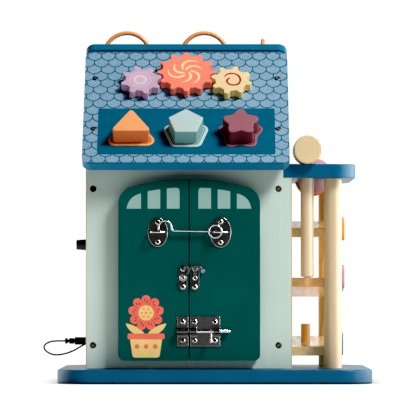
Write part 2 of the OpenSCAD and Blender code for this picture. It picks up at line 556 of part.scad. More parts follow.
// smooth curve through the route points, three pieces for each stretch
function spline(p, i, t) = let (a = p[max(i - 1, 0)], b = p[i], c = p[i + 1], d = p[min(i + 2, len(p) - 1)])
  0.5 * (2 * b + (c - a) * t + (2 * a - 5 * b + 4 * c - d) * t * t + (3 * b - a - 3 * c + d) * t * t * t);
lead_pts = concat([for (i = [0 : len(lead_route) - 2], t = [0, 1 / 3, 2 / 3]) spline(lead_route, i, t)], [lead_route[len(lead_route) - 1]]);
module plug_lead() color([0.05, 0.05, 0.06]) let (n = 8, m = len(lead_pts)) polyhedron(
  points = [for (i = [0 : m - 1]) each lead_ring(lead_pts, i, n)],
  faces = concat([[for (k = [0 : n - 1]) k]], [[for (k = [n - 1 : -1 : 0]) (m - 1) * n + k]],
    [for (i = [0 : m - 2], k = [0 : n - 1]) [i * n + k, (i + 1) * n + k, (i + 1) * n + (k + 1) % n, i * n + (k + 1) % n]]));

base_board();
front_panel();
left_wall();
right_wall();
back_panel();
roof_front();
roof_back();
panel_screws();
triangle_rim();
pentagon_rim();
star_rim();
gear_pins();
tower_plate();
front_post();
rear_post();
upper_ramp();
middle_ramp();
lower_ramp();
upper_rail();
middle_rail();
lower_rail();
ball_stop();
arch_wires();
hinge_frame_leaves();
hinge_pins();
lamp_lens();
switch_body();
jack_socket();
battery_box();
jack_plug();
plug_lead();
left_door();
left_hinge_leaves();
hook_catch();
latch_catch();
bolt_keeper();
left_door_screws();
right_door();
right_hinge_leaves();
hook_plate();
latch_plate();
bolt_plate();
right_door_screws();
cabin_hook();
latch_arm();
barrel_bolt();
gear_left();
gear_middle();
gear_right();
triangle_block();
pentagon_block();
star_block();
mallet_head();
mallet_handle();
ball_mauve();
ball_orange();
switch_knob();
bead_left();
bead_middle();
bead_right();
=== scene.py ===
import json
import math
import bpy
import bmesh
import numpy as np
from mathutils import Matrix, Vector


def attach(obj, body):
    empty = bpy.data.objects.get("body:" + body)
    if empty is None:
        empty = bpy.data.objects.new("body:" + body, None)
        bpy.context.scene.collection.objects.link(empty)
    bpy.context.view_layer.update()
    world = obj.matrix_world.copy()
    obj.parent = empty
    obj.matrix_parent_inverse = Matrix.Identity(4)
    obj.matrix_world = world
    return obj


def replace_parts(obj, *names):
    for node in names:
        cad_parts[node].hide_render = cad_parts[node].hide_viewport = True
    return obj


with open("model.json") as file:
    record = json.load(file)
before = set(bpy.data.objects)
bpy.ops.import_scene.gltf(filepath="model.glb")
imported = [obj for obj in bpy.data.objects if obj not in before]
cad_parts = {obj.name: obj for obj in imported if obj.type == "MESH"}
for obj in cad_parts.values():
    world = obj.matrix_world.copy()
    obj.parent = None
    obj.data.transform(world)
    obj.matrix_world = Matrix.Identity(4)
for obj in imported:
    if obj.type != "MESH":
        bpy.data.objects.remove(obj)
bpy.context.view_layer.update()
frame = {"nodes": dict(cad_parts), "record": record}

N = frame["nodes"]
BODY_OF = {n: b for b, ns in frame["record"]["behaviour"]["bodies"].items() for n in ns}
scene = bpy.context.scene
MM = 0.001
CA, SA = math.cos(math.radians(46)), math.sin(math.radians(46))


def V(*p):
    return Vector(p) * MM


# ------------------------------------------------------------------ camera
cam_data = bpy.data.cameras.new("camera")
cam = bpy.data.objects.new("camera", cam_data)
scene.collection.objects.link(cam)
cam_data.sensor_width = 36.0
cam_data.lens = 293.0
cam_data.clip_start, cam_data.clip_end = 0.1, 200.0
cam.location = V(-7.4, -4414.0, 118.5)
cam.rotation_euler = (math.radians(90 + 1.387), 0.0, math.radians(0.017))
scene.camera = cam

# ------------------------------------------------------------------ frames: origin, two directions in the face, outward
FLAT = (Vector((0, 0, 0)), Vector((1, 0, 0)), Vector((0, 1, 0)), Vector((0, 0, 1)))
DOOR = (V(0, -129, 0), Vector((1, 0, 0)), Vector((0, 0, 1)), Vector((0, -1, 0)))
ROOF = (V(0, -145, 278), Vector((1, 0, 0)), Vector((0, CA, SA)), Vector((0, -SA, CA)))


def on(fr, u, v, w=0.0):
    return fr[0] + (fr[1] * u + fr[2] * v + fr[3] * w) * MM


# ------------------------------------------------------------------ shader helpers
def lin(c):
    c = c / 255.0
    return c / 12.92 if c <= 0.04045 else ((c + 0.055) / 1.055) ** 2.4


def rgb(r, g, b):
    return (lin(r), lin(g), lin(b), 1.0)


class Sh:
    """A material's node tree, with short names for the nodes used here."""

    def __init__(self, name):
        self.mat = bpy.data.materials.new(name)
        self.mat.use_nodes = True
        self.t = self.mat.node_tree
        self.t.nodes.clear()
        self.out = self.t.nodes.new("ShaderNodeOutputMaterial")
        self.bsdf = self.t.nodes.new("ShaderNodeBsdfPrincipled")
        self.t.links.new(self.bsdf.outputs["BSDF"], self.out.inputs["Surface"])
        self.obj = self.t.nodes.new("ShaderNodeTexCoord").outputs["Object"]

    def put(self, socket, value):
        if isinstance(value, bpy.types.NodeSocket):
            self.t.links.new(value, socket)
        else:
            socket.default_value = value

    def set(self, **values):
        for k, v in values.items():
            self.put(self.bsdf.inputs[k.replace("_", " ")], v)
        return self

    def math(self, op, a, b=None, c=None, clamp=False):
        n = self.t.nodes.new("ShaderNodeMath")
        n.operation, n.use_clamp = op, clamp
        for i, x in enumerate((a, b, c)):
            if x is not None:
                self.put(n.inputs[i], x)
        return n.outputs[0]

    def span(self, value, a, b, lo, hi, smooth=False):
        n = self.t.nodes.new("ShaderNodeMapRange")
        n.interpolation_type = "SMOOTHSTEP" if smooth else "LINEAR"
        for i, x in enumerate((value, a, b, lo, hi)):
            self.put(n.inputs[i], x)
        return n.outputs[0]

    def stretch(self, scale, rot=(0, 0, 0), loc=(0, 0, 0)):
        n = self.t.nodes.new("ShaderNodeMapping")
        self.t.links.new(self.obj, n.inputs["Vector"])
        n.inputs["Scale"].default_value = scale
        n.inputs["Rotation"].default_value = rot
        n.inputs["Location"].default_value = loc
        return n.outputs["Vector"]

    def noise(self, scale, vector=None, detail=3.0, rough=0.55, distort=0.0):
        n = self.t.nodes.new("ShaderNodeTexNoise")
        self.t.links.new(vector or self.obj, n.inputs["Vector"])
        n.inputs["Scale"].default_value = scale
        n.inputs["Detail"].default_value = detail
        n.inputs["Roughness"].default_value = rough
        n.inputs["Distortion"].default_value = distort
        return n.outputs["Fac"]

    def ramp(self, fac, *stops):
        n = self.t.nodes.new("ShaderNodeValToRGB")
        self.put(n.inputs["Fac"], fac)
        el = n.color_ramp.elements
        el[0].position, el[0].color = stops[0]
        el[1].position, el[1].color = stops[-1]
        for p, c in stops[1:-1]:
            e = el.new(p)
            e.color = c
        return n.outputs["Color"]

    def mix(self, fac, a, b, kind="MIX"):
        n = self.t.nodes.new("ShaderNodeMix")
        n.data_type, n.blend_type = "RGBA", kind
        self.put(n.inputs["Factor"], fac)
        self.put(n.inputs["A"], a)
        self.put(n.inputs["B"], b)
        for s, v in (("A", a), ("B", b)):
            for i in n.inputs:
                if i.name == s and i.type == "RGBA":
                    self.put(i, v)
        return next(o for o in n.outputs if o.type == "RGBA")

    def bump(self, height, distance, strength=1.0, below=None):
        n = self.t.nodes.new("ShaderNodeBump")
        n.inputs["Strength"].default_value = strength
        n.inputs["Distance"].default_value = distance
        self.put(n.inputs["Height"], height)
        if below is not None:
            self.t.links.new(below, n.inputs["Normal"])
        return n.outputs["Normal"]

    def xyz(self):
        n = self.t.nodes.new("ShaderNodeSeparateXYZ")
        self.t.links.new(self.obj, n.inputs[0])
        return n.outputs[0], n.outputs[1], n.outputs[2]


def shade(c, k):
    return (min(1, c[0] * k), min(1, c[1] * k), min(1, c[2] * k), 1.0)


def paint(name, c, rough=0.42, grain=(1.0, 1.0, 0.05), tone=0.06, grip=0.35, coat=0.0, gloss=0.12):
    """Sprayed satin paint on board: faint wood grain under it, small colour drift, fine orange peel."""
    s = Sh(name)
    drift = s.noise(14.0, detail=2.0)
    fine = s.noise(420.0, detail=2.0)
    fibre = s.noise(260.0, s.stretch(grain), detail=4.0, rough=0.6)
    a = s.ramp(drift, (0.3, shade(c, 1 - tone)), (0.7, shade(c, 1 + tone)))
    b = s.mix(s.span(fibre, 0.35, 0.7, 0.0, 0.22), a, shade(c, 0.86))
    s.set(Base_Color=s.mix(s.span(fine, 0.62, 0.78, 0.0, 0.12), b, shade(c, 1.22)))
    s.set(Roughness=s.span(s.noise(60.0, detail=3.0), 0.3, 0.7, rough - 0.05, rough + 0.06))
    s.set(Normal=s.bump(s.noise(900.0, detail=2.0), 0.00004, grip, s.bump(fibre, 0.00005, 0.4)))
    s.set(Specular_IOR_Level=gloss)
    if coat:
        s.set(Coat_Weight=coat, Coat_Roughness=0.2)
    return s.mat


def wood(name, light, mid, dark, along=2, rough=0.5, scale=1.0, gloss=0.5, relief=1.0):
    """Clear-lacquered hardwood: long streaks, soft growth bands and short pores along one axis."""
    s = Sh(name)
    k = [1.0, 1.0, 1.0]
    k[along] = 0.045
    long_v = s.stretch(tuple(k))
    k[along] = 0.012
    band_v = s.stretch(tuple(k))
    streak = s.noise(170.0 * scale, long_v, detail=5.0, rough=0.62, distort=0.25)
    band = s.noise(46.0 * scale, band_v, detail=2.0, distort=0.8)
    k[along] = 0.09
    pore = s.noise(1100.0 * scale, s.stretch(tuple(k)), detail=2.0)
    both = s.math("ADD", s.math("MULTIPLY", streak, 0.55), s.math("MULTIPLY", band, 0.45))
    col = s.ramp(both, (0.34, dark), (0.5, mid), (0.66, light))
    col = s.mix(s.span(pore, 0.6, 0.74, 0.0, 0.4), col, shade(dark, 0.8))
    s.set(Base_Color=col)
    s.set(Roughness=s.span(streak, 0.3, 0.7, rough + 0.07, rough - 0.06))
    s.set(Normal=s.bump(pore, 0.00006, 0.5 * relief, s.bump(streak, 0.00008, 0.35 * relief)))
    s.set(Specular_IOR_Level=gloss)
    return s.mat


def end_wood(name, light, mid, dark, centre, fr, rough=0.55):
    """Sawn end of a turned piece: shallow curved growth lines across the disc."""
    s = Sh(name)
    warp = s.noise(35.0, detail=2.0)
    x, y, z = s.xyz()
    r = s.math("MULTIPLY_ADD", warp, 0.006, x)
    lines = s.math("SINE", s.math("MULTIPLY", r, 2 * math.pi / 0.0026))
    fine = s.noise(700.0, detail=3.0)
    f = s.math("ADD", s.math("MULTIPLY", s.span(lines, -1, 1, 0, 1), 0.4), s.math("MULTIPLY", fine, 0.6))
    s.set(Base_Color=s.ramp(f, (0.22, dark), (0.5, mid), (0.75, light)))
    s.set(Roughness=s.span(fine, 0.3, 0.7, rough - 0.05, rough + 0.08))
    s.set(Normal=s.bump(f, 0.00006, 0.4))
    return s.mat


def metal(name, c, rough=0.25, brush=None, marks=0.10, dirt=0.0):
    """Plated steel: stretched brush marks or fine polish, with a little tarnish."""
    s = Sh(name)
    v = s.stretch(brush) if brush else None
    m = s.noise(900.0 if brush else 300.0, v, detail=3.0)
    t = s.noise(90.0, detail=3.0)
    col = s.ramp(t, (0.3, shade(c, 0.82)), (0.7, shade(c, 1.12)))
    s.set(Base_Color=s.mix(s.span(m, 0.35, 0.65, 0.0, 0.35), col, shade(c, 0.72)) if brush else col)
    s.set(Metallic=1.0)
    s.set(Roughness=s.span(m, 0.3, 0.7, max(0.04, rough - marks), rough + marks))
    s.set(Normal=s.bump(m, 0.00003, 0.35 if brush else 0.12))
    return s.mat


def plastic(name, c, rough=0.45, scale=700.0, grip=0.5):
    """Moulded plastic with a fine spark-eroded texture."""
    s = Sh(name)
    f = s.noise(scale, detail=3.0)
    d = s.noise(40.0, detail=2.0)
    s.set(Base_Color=s.ramp(d, (0.3, shade(c, 0.85)), (0.7, shade(c, 1.18))))
    s.set(Roughness=s.span(f, 0.3, 0.7, rough - 0.08, rough + 0.08))
    s.set(Normal=s.bump(f, 0.00004, grip))
    return s.mat


def printed(name, c, rough=0.45, tone=0.06):
    """Screen-printed ink: slightly uneven cover with tiny pinholes."""
    s = Sh(name)
    d = s.noise(60.0, detail=3.0)
    p = s.noise(1500.0, detail=1.0)
    col = s.ramp(d, (0.3, shade(c, 1 - tone)), (0.7, shade(c, 1 + tone)))
    s.set(Base_Color=s.mix(s.span(p, 0.66, 0.74, 0.0, 0.25), col, shade(c, 0.75)))
    s.set(Roughness=s.span(d, 0.3, 0.7, rough - 0.05, rough + 0.05))
    s.set(Normal=s.bump(p, 0.00002, 0.3))
    s.set(Specular_IOR_Level=0.08)
    return s.mat


def scales(name, fill, line, rough=0.45, w=17.863, h=12.952, r=9.238, lw=1.55, x0=-31.33, s0=-0.225, area=(-36.8, 105.6, 134.0, 104.6, 9.5)):
    """Printed fish-scale roof: rows of round-bottomed scales, every other row moved by half a scale."""
    s = Sh(name)
    x, y, z = s.xyz()
    across = s.math("MULTIPLY", x, 1000.0)
    u = s.math("DIVIDE", s.math("SUBTRACT", across, x0), w)
    along = s.math("MULTIPLY", s.math("MULTIPLY_ADD", y, 1000.0, 145.0), CA)
    along = s.math("ADD", along, s.math("MULTIPLY", s.math("MULTIPLY_ADD", z, 1000.0, -278.0), SA))
    v = s.math("DIVIDE", s.math("ADD", along, -s0), h)
    row = s.math("FLOOR", v)
    vv = s.math("MULTIPLY", s.math("SUBTRACT", v, row), h)
    half = s.math("MULTIPLY", s.math("FLOORED_MODULO", row, 2.0), 0.5)
    uu = s.math("ADD", u, half)
    du = s.math("MULTIPLY", s.math("ABSOLUTE", s.math("SUBTRACT", s.math("FRACT", uu), 0.5)), w)

    def reach(a, b):
        return s.math("SQRT", s.math("ADD", s.math("MULTIPLY", a, a), s.math("MULTIPLY", b, b)))

    d0 = s.math("SUBTRACT", reach(du, s.math("SUBTRACT", vv, r)), r)
    side = s.math("SUBTRACT", w / 2, du)
    low = s.math("LESS_THAN", vv, r)
    da = s.math("ADD", s.math("MULTIPLY", low, s.math("ABSOLUTE", d0)), s.math("MULTIPLY", s.math("SUBTRACT", 1.0, low), side))
    d1 = s.math("SUBTRACT", reach(side, s.math("SUBTRACT", vv, h + r)), r)
    dist = s.math("MINIMUM", da, d1)
    ink = s.span(dist, lw / 2 - 0.12, lw / 2 + 0.16, 1.0, 0.0, True)
    # the print stops short of the board's edges, with round corners
    qx = s.math("SUBTRACT", s.math("ABSOLUTE", s.math("SUBTRACT", across, area[0])), area[2] - area[4])
    qy = s.math("SUBTRACT", s.math("ABSOLUTE", s.math("SUBTRACT", along, area[1])), area[3] - area[4])
    edge = s.math("ADD", reach(s.math("MAXIMUM", qx, 0.0), s.math("MAXIMUM", qy, 0.0)), s.math("MINIMUM", s.math("MAXIMUM", qx, qy), 0.0))
    ink = s.math("MAXIMUM", ink, s.span(edge, area[4] - 1.3, area[4] - 1.0, 0.0, 1.0, True))
    # which scale this point is on, for a small change of tone from scale to scale
    outside = s.math("MULTIPLY", low, s.math("GREATER_THAN", d0, 0.0))
    cell_v = s.math("SUBTRACT", row, outside)
    cell_u = s.math("FLOOR", s.math("ADD", uu, s.math("MULTIPLY", outside, 0.5)))
    comb = s.t.nodes.new("ShaderNodeCombineXYZ")
    s.put(comb.inputs[0], cell_u)
    s.put(comb.inputs[1], cell_v)
    wn = s.t.nodes.new("ShaderNodeTexWhiteNoise")
    wn.noise_dimensions = "2D"
    s.t.links.new(comb.outputs[0], wn.inputs["Vector"])
    tone = s.span(wn.outputs["Value"], 0.0, 1.0, 0.0, 1.0)
    a = s.mix(tone, shade(fill, 0.94), shade(fill, 1.07))
    fleck = s.noise(520.0, detail=2.0)
    a = s.mix(s.span(fleck, 0.5, 0.66, 0.0, 0.75), a, (min(1, fill[0] * 1.55), min(1, fill[1] * 1.3), min(1, fill[2] * 1.28), 1))
    pit = s.noise(430.0, s.stretch((1, 1, 1), (0, 0, 0), (3.1, 1.7, 0.4)), detail=2.0)
    a = s.mix(s.span(pit, 0.54, 0.68, 0.0, 0.7), a, (fill[0] * 0.55, fill[1] * 0.72, fill[2] * 0.78, 1))
    fibre = s.noise(240.0, s.stretch((0.06, 1.0, 1.0)), detail=4.0)
    a = s.mix(s.span(fibre, 0.4, 0.7, 0.0, 0.2), a, shade(fill, 0.82))
    s.set(Base_Color=s.mix(ink, a, line))
    s.set(Roughness=s.span(s.noise(60.0), 0.3, 0.7, rough - 0.05, rough + 0.06))
    s.set(Normal=s.bump(s.noise(900.0, detail=2.0), 0.00004, 0.3, s.bump(fibre, 0.00005, 0.35)))
    s.set(Specular_IOR_Level=0.08)
    return s.mat


# ------------------------------------------------------------------ colours
BLUE = rgb(20, 105, 138)
MINT = rgb(196, 214, 203)
GREEN = rgb(17, 85, 81)
M = {
    "blue": paint("blue_paint", rgb(13, 85, 118), 0.36, (0.05, 1.0, 1.0), gloss=0.3),
    "blue_roof": paint("blue_roof_paint", BLUE, 0.38, (0.05, 1.0, 1.0), gloss=0.45),
    "blue_plate": paint("blue_plate_paint", rgb(14, 95, 127), 0.36, (1.0, 0.05, 1.0), gloss=0.3),
    "mint": paint("mint_paint", MINT, 0.46, (1.0, 1.0, 0.05), 0.03),
    "green": paint("green_paint", GREEN, 0.40, (1.0, 1.0, 0.05), 0.07),
    "roof": scales("roof_print", rgb(123, 156, 176), rgb(15, 90, 116)),
    "roof_blue": printed("roof_plain_print", rgb(22, 94, 118), 0.42),
    "window": printed("window_print", rgb(146, 178, 170), 0.42, 0.03),
    "cream": printed("cream_print", rgb(232, 200, 128), 0.45),
    "coral_ink": printed("coral_print", rgb(238, 112, 96), 0.45),
    "dark_ink": printed("dark_print", rgb(36, 52, 52), 0.45),
    "leaf_ink": printed("leaf_print", rgb(232, 160, 84), 0.45),
    "orange": paint("orange_paint", rgb(240, 163, 107), 0.42, (0.06, 1.0, 1.0)),
    # a separately tuned copy of the orange paint for the triangle's rim: painted light where the rim lies by the block
    "orange_rim_painted_light": paint("orange_rim_paint", rgb(248, 162, 98), 0.42, (0.06, 1.0, 1.0)),
    "mint_block": paint("mint_block_paint", rgb(179, 199, 195), 0.42, (0.06, 1.0, 1.0), 0.03),
    "plum": paint("plum_paint", rgb(150, 98, 106), 0.42, (0.06, 1.0, 1.0)),
    # darker copies of the block paints for the blocks' walls: painted shade, the mint one tinted teal as if lit from
    # the blue roof
    "orange_side": paint("orange_side_paint", rgb(238, 134, 88), 0.5, (1.0, 1.0, 0.3), 0.1),
    "mint_painted_shade_side": paint("mint_side_paint", rgb(132, 176, 172), 0.5, (1.0, 1.0, 0.3), 0.08),
    "plum_side": paint("plum_side_paint", rgb(112, 60, 72), 0.5, (1.0, 1.0, 0.3), 0.1),
    "lavender": paint("lavender_paint", rgb(192, 162, 180), 0.40, (0.06, 1.0, 1.0)),
    # lighter copies of the gear paints (lavender, coral and yellow) for the gears' walls: painted light on the sides
    "lavender_side": paint("lavender_side_painted_light", rgb(208, 170, 194), 0.46, (1.0, 1.0, 0.3), 0.08),
    "coral": paint("coral_paint", rgb(239, 131, 109), 0.40, (0.06, 1.0, 1.0)),
    "coral_side": paint("coral_side_painted_light", rgb(255, 138, 118), 0.46, (1.0, 1.0, 0.3), 0.08),
    "yellow": paint("yellow_paint", rgb(223, 199, 150), 0.40, (0.06, 1.0, 1.0)),
    "yellow_side": paint("yellow_side_painted_light", rgb(255, 214, 140), 0.46, (1.0, 1.0, 0.3), 0.08),
    "pale_ring": printed("pale_ring_print", rgb(213, 190, 208), 0.42, 0.03),
    "mid_disc": printed("mid_disc_print", rgb(197, 172, 184), 0.42, 0.03),
    "faint_ring": printed("faint_ring_print", rgb(201, 173, 193), 0.42, 0.03),
    # dark line colours for the rims: painted shadow of the step round each hole
    "orange_painted_groove_shadow": printed("orange_painted_groove_shadow", rgb(136, 62, 26), 0.5),
    "mint_painted_groove_shadow": printed("mint_painted_groove_shadow", rgb(74, 102, 104), 0.5),
    "plum_painted_groove_shadow": printed("plum_painted_groove_shadow", rgb(74, 32, 42), 0.5),
    "swirl": printed("swirl_print", rgb(226, 212, 156), 0.42),
    "crimson": printed("crimson_print", rgb(168, 34, 56), 0.42),
    "rail_orange": paint("rail_orange_paint", rgb(244, 152, 66), 0.42, (1.0, 0.05, 1.0)),
    "rail_mauve": paint("rail_mauve_paint", rgb(192, 154, 174), 0.42, (1.0, 0.05, 1.0)),
    "ball_mauve": paint("ball_mauve_paint", rgb(192, 138, 158), 0.34, (1.0, 0.1, 1.0), 0.04, 0.2, gloss=1.0),
    "ball_orange": paint("ball_orange_paint", rgb(216, 122, 62), 0.34, (1.0, 0.1, 1.0), 0.04, 0.2),
    "wood_z": wood("beech_upright", rgb(220, 199, 163), rgb(211, 187, 149), rgb(195, 165, 122), 2, 0.40, gloss=0.9),
    # the rear post's copy of the beech is warmer and lighter than the front post's: painted light and warm shade
    "wood_rear_painted_light_and_shade": wood("beech_rear_painted_light_and_shade", rgb(255, 218, 152), rgb(252, 204, 130), rgb(236, 178, 102), 2, 0.42),
    # the three ramps are lit and shaded copies of one beech: the upper one painted light, the middle one lighter and
    # warmer, the lower one painted darker
    "ramp_upper_painted_light": wood("beech_upper_ramp_painted_light", rgb(255, 220, 152), rgb(255, 210, 136), rgb(240, 186, 110), 1, 0.28, gloss=1.0, relief=0.2),
    "ramp_middle_painted_light_and_shade": wood("beech_middle_ramp_painted_light_and_shade", rgb(255, 206, 138), rgb(246, 190, 118), rgb(226, 165, 92), 1, 0.30, gloss=0.9, relief=0.2),
    "ramp_lower_painted_shade": wood("beech_lower_ramp_painted_shade", rgb(222, 194, 144), rgb(212, 181, 129), rgb(192, 157, 102), 1, 0.25, gloss=1.0, relief=0.2),
    "wood_head": wood("beech_head", rgb(230, 206, 162), rgb(222, 194, 146), rgb(204, 174, 124), 1),
    "wood_end": end_wood("beech_end", rgb(230, 206, 162), rgb(223, 197, 150), rgb(212, 184, 136), None, None),
    "raw_edge": wood("raw_board_edge", rgb(226, 196, 150), rgb(204, 168, 122), rgb(170, 130, 88), 2, 0.65),
    "stain": wood("stained_peg", rgb(255, 206, 126), rgb(250, 190, 104), rgb(228, 160, 76), 2),
    "wire": paint("orange_wire_coat", rgb(252, 160, 98), 0.28, (1.0, 1.0, 1.0), 0.04, 0.15, 0.3),
    "black_screw": metal("black_screw", rgb(74, 70, 68), 0.42),
    "grey_recess": metal("grey_recess", rgb(118, 117, 113), 0.48),
    "ink_screw": metal("ink_screw", rgb(30, 28, 28), 0.45),
    # near-black metal for screw recesses and stud dimples: painted shade in the hollows
    "recess_painted_shade": metal("recess_painted_shade", rgb(26, 25, 25), 0.5),
    "dark_nickel": metal("dark_nickel", rgb(80, 78, 78), 0.42, (1.0, 1.0, 0.06), 0.1),
    "nickel_rim": metal("nickel_rim", rgb(198, 196, 196), 0.22),
    "dull_rim": metal("dull_rim", rgb(128, 126, 126), 0.28),
    "brushed": metal("brushed_steel", rgb(104, 102, 101), 0.30, (0.04, 1.0, 1.0), 0.1),
    "arm_nickel": metal("arm_nickel", rgb(122, 119, 119), 0.34, (1.0, 1.0, 0.08), 0.08),
    "chrome": metal("bright_plating", rgb(226, 224, 224), 0.14),
    "screw": metal("bright_screw", rgb(218, 214, 212), 0.20),
    "zinc": metal("zinc_plating", rgb(158, 158, 162), 0.36, (1.0, 1.0, 0.08)),
    "black": plastic("black_plastic", rgb(28, 27, 28), 0.42),
    "rubber": plastic("lead_rubber", rgb(12, 12, 13), 0.6, 1200.0),
    "lens": plastic("milky_lens", rgb(240, 240, 236), 0.18, 300.0, 0.1),
}
M["lens"].node_tree.nodes["Principled BSDF"].inputs["Transmission Weight"].default_value = 0.55
M["lens"].node_tree.nodes["Principled BSDF"].inputs["Subsurface Weight"].default_value = 0.0
M["rubber"].node_tree.nodes["Principled BSDF"].inputs["Specular IOR Level"].default_value = 0.25


# ------------------------------------------------------------------ mesh helpers
def link(name, mesh, mats, body):
    ob = bpy.data.objects.new(name, mesh)
    scene.collection.objects.link(ob)
    for m in mats:
        mesh.materials.append(M[m])
    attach(ob, body)
    return ob


def from_bm(name, bm, mats, body, smooth=40):
    bmesh.ops.recalc_face_normals(bm, faces=bm.faces)
    for f in bm.faces:
        f.smooth = True
    mesh = bpy.data.meshes.new(name)
    bm.to_mesh(mesh)
    bm.free()
    mesh.set_sharp_from_angle(angle=math.radians(smooth))
    return link(name, mesh, mats, body)


def soften(ob, width, seg=3, limit=32, material=-1):
    """Rounds the piece's sharp edges by width millimetres."""
    b = ob.modifiers.new("edges", "BEVEL")
    b.width = width * MM
    b.segments = seg
    b.limit_method = "ANGLE"
    b.angle_limit = math.radians(limit)
    b.use_clamp_overlap = True
    b.material = material
    b.miter_outer = "MITER_ARC" if width < 0.6 else "MITER_SHARP"
    n = ob.modifiers.new("normals", "WEIGHTED_NORMAL")
    n.keep_sharp = True
    n.weight = 80
    for e in ob.data.edges:
        e.use_edge_sharp = False
    ob.data.set_sharp_from_angle(angle=math.radians(89.9 if width < 0.01 else 180))
    return ob


def fine(node, mats, width=0.8, seg=3, pick=None, limit=32, material=-1, flat=0.7, name=None):
    """The CAD node's own shape with its flat faces joined up and its edges rounded."""
    bm = bmesh.new()
    bm.from_mesh(N[node].data)
    bmesh.ops.remove_doubles(bm, verts=bm.verts, dist=3e-6)
    bmesh.ops.dissolve_degenerate(bm, dist=1e-6, edges=bm.edges)
    bmesh.ops.dissolve_limit(bm, angle_limit=math.radians(flat), verts=bm.verts, edges=bm.edges)
    bmesh.ops.recalc_face_normals(bm, faces=bm.faces)
    for f in bm.faces:
        f.material_index = pick(f) if pick else 0
    ob = from_bm(name or node + "_shaped", bm, mats, BODY_OF[node])
    if width:
        soften(ob, width, seg, limit, material)
    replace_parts(ob, node)
    return ob


def keep(node, mat, smooth=35):
    """Keeps a CAD node as it is and gives it a material."""
    ob = N[node]
    ob.data.materials.clear()
    ob.data.materials.append(M[mat])
    for p in ob.data.polygons:
        p.use_smooth = True
        p.material_index = 0
    ob.data.set_sharp_from_angle(angle=math.radians(smooth))
    return ob


def arc(cx, cy, r, a0, a1, n):
    return [(cx + r * math.cos(math.radians(a0 + (a1 - a0) * i / n)), cy + r * math.sin(math.radians(a0 + (a1 - a0) * i / n))) for i in range(n + 1)]


def rrect(x0, y0, x1, y1, r, n=6):
    return (arc(x0 + r, y0 + r, r, 180, 270, n) + arc(x1 - r, y0 + r, r, 270, 360, n)
            + arc(x1 - r, y1 - r, r, 0, 90, n) + arc(x0 + r, y1 - r, r, 90, 180, n))


def add_plate(bm, loop, fr, w0, w1):
    lo = [bm.verts.new(on(fr, u, v, w0)) for u, v in loop]
    hi = [bm.verts.new(on(fr, u, v, w1)) for u, v in loop]
    bm.faces.new(hi)
    bm.faces.new(lo[::-1])
    for i in range(len(loop)):
        j = (i + 1) % len(loop)
        bm.faces.new((lo[i], lo[j], hi[j], hi[i]))


def add_band(bm, a, b, fr, w0, w1, closed=False):
    """A thin flat band between two lines of points."""
    n = len(a)
    va = [[bm.verts.new(on(fr, u, v, w)) for u, v in a] for w in (w0, w1)]
    vb = [[bm.verts.new(on(fr, u, v, w)) for u, v in b] for w in (w0, w1)]
    for i in range(n if closed else n - 1):
        j = (i + 1) % n
        bm.faces.new((va[1][i], va[1][j], vb[1][j], vb[1][i]))
        bm.faces.new((va[0][j], va[0][i], vb[0][i], vb[0][j]))
        bm.faces.new((va[0][i], va[0][j], va[1][j], va[1][i]))
        bm.faces.new((vb[0][j], vb[0][i], vb[1][i], vb[1][j]))
    if not closed:
        bm.faces.new((va[0][0], va[1][0], vb[1][0], vb[0][0]))
        bm.faces.new((va[1][-1], va[0][-1], vb[0][-1], vb[1][-1]))


def add_tube(bm, pts, r, seg=14, closed=False, round_ends=False, radii=None):
    pts = [Vector(p) for p in pts]
    radii = list(radii) if radii else [r] * len(pts)
    if round_ends and not closed:
        d0, d1 = (pts[0] - pts[1]).normalized(), (pts[-1] - pts[-2]).normalized()
        k = 5
        head = [(pts[0] + d0 * radii[0] * math.sin(a), max(radii[0] * math.cos(a), radii[0] * 0.04)) for a in [math.pi / 2 * i / k for i in range(k, 0, -1)]]
        tail = [(pts[-1] + d1 * radii[-1] * math.sin(a), max(radii[-1] * math.cos(a), radii[-1] * 0.04)) for a in [math.pi / 2 * i / k for i in range(1, k + 1)]]
        pts = [p for p, _ in head] + pts + [p for p, _ in tail]
        radii = [q for _, q in head] + radii + [q for _, q in tail]
    n = len(pts)
    tan = []
    for i in range(n):
        a, b = (pts[i - 1], pts[(i + 1) % n]) if closed else (pts[max(i - 1, 0)], pts[min(i + 1, n - 1)])
        tan.append((b - a).normalized())
    up = tan[0].orthogonal().normalized()
    rings = []
    for i in range(n):
        if i:
            q = tan[i - 1].rotation_difference(tan[i])
            up = (q @ up)
            up = (up - tan[i] * up.dot(tan[i])).normalized()
        side = tan[i].cross(up)
        rings.append([bm.verts.new(pts[i] + (up * math.cos(2 * math.pi * k / seg) + side * math.sin(2 * math.pi * k / seg)) * radii[i]) for k in range(seg)])
    turn = 0
    if closed:  # the frame may come back turned: start the last ring's quads at the nearest vertex
        turn = min(range(seg), key=lambda k: (rings[-1][0].co - rings[0][k].co).length)
    for i in range(n if closed else n - 1):
        j = (i + 1) % n
        t = turn if closed and j == 0 else 0
        for k in range(seg):
            bm.faces.new((rings[i][k], rings[i][(k + 1) % seg], rings[j][(k + 1 + t) % seg], rings[j][(k + t) % seg]))
    if not closed:
        bm.faces.new(rings[0][::-1])
        bm.faces.new(rings[-1])


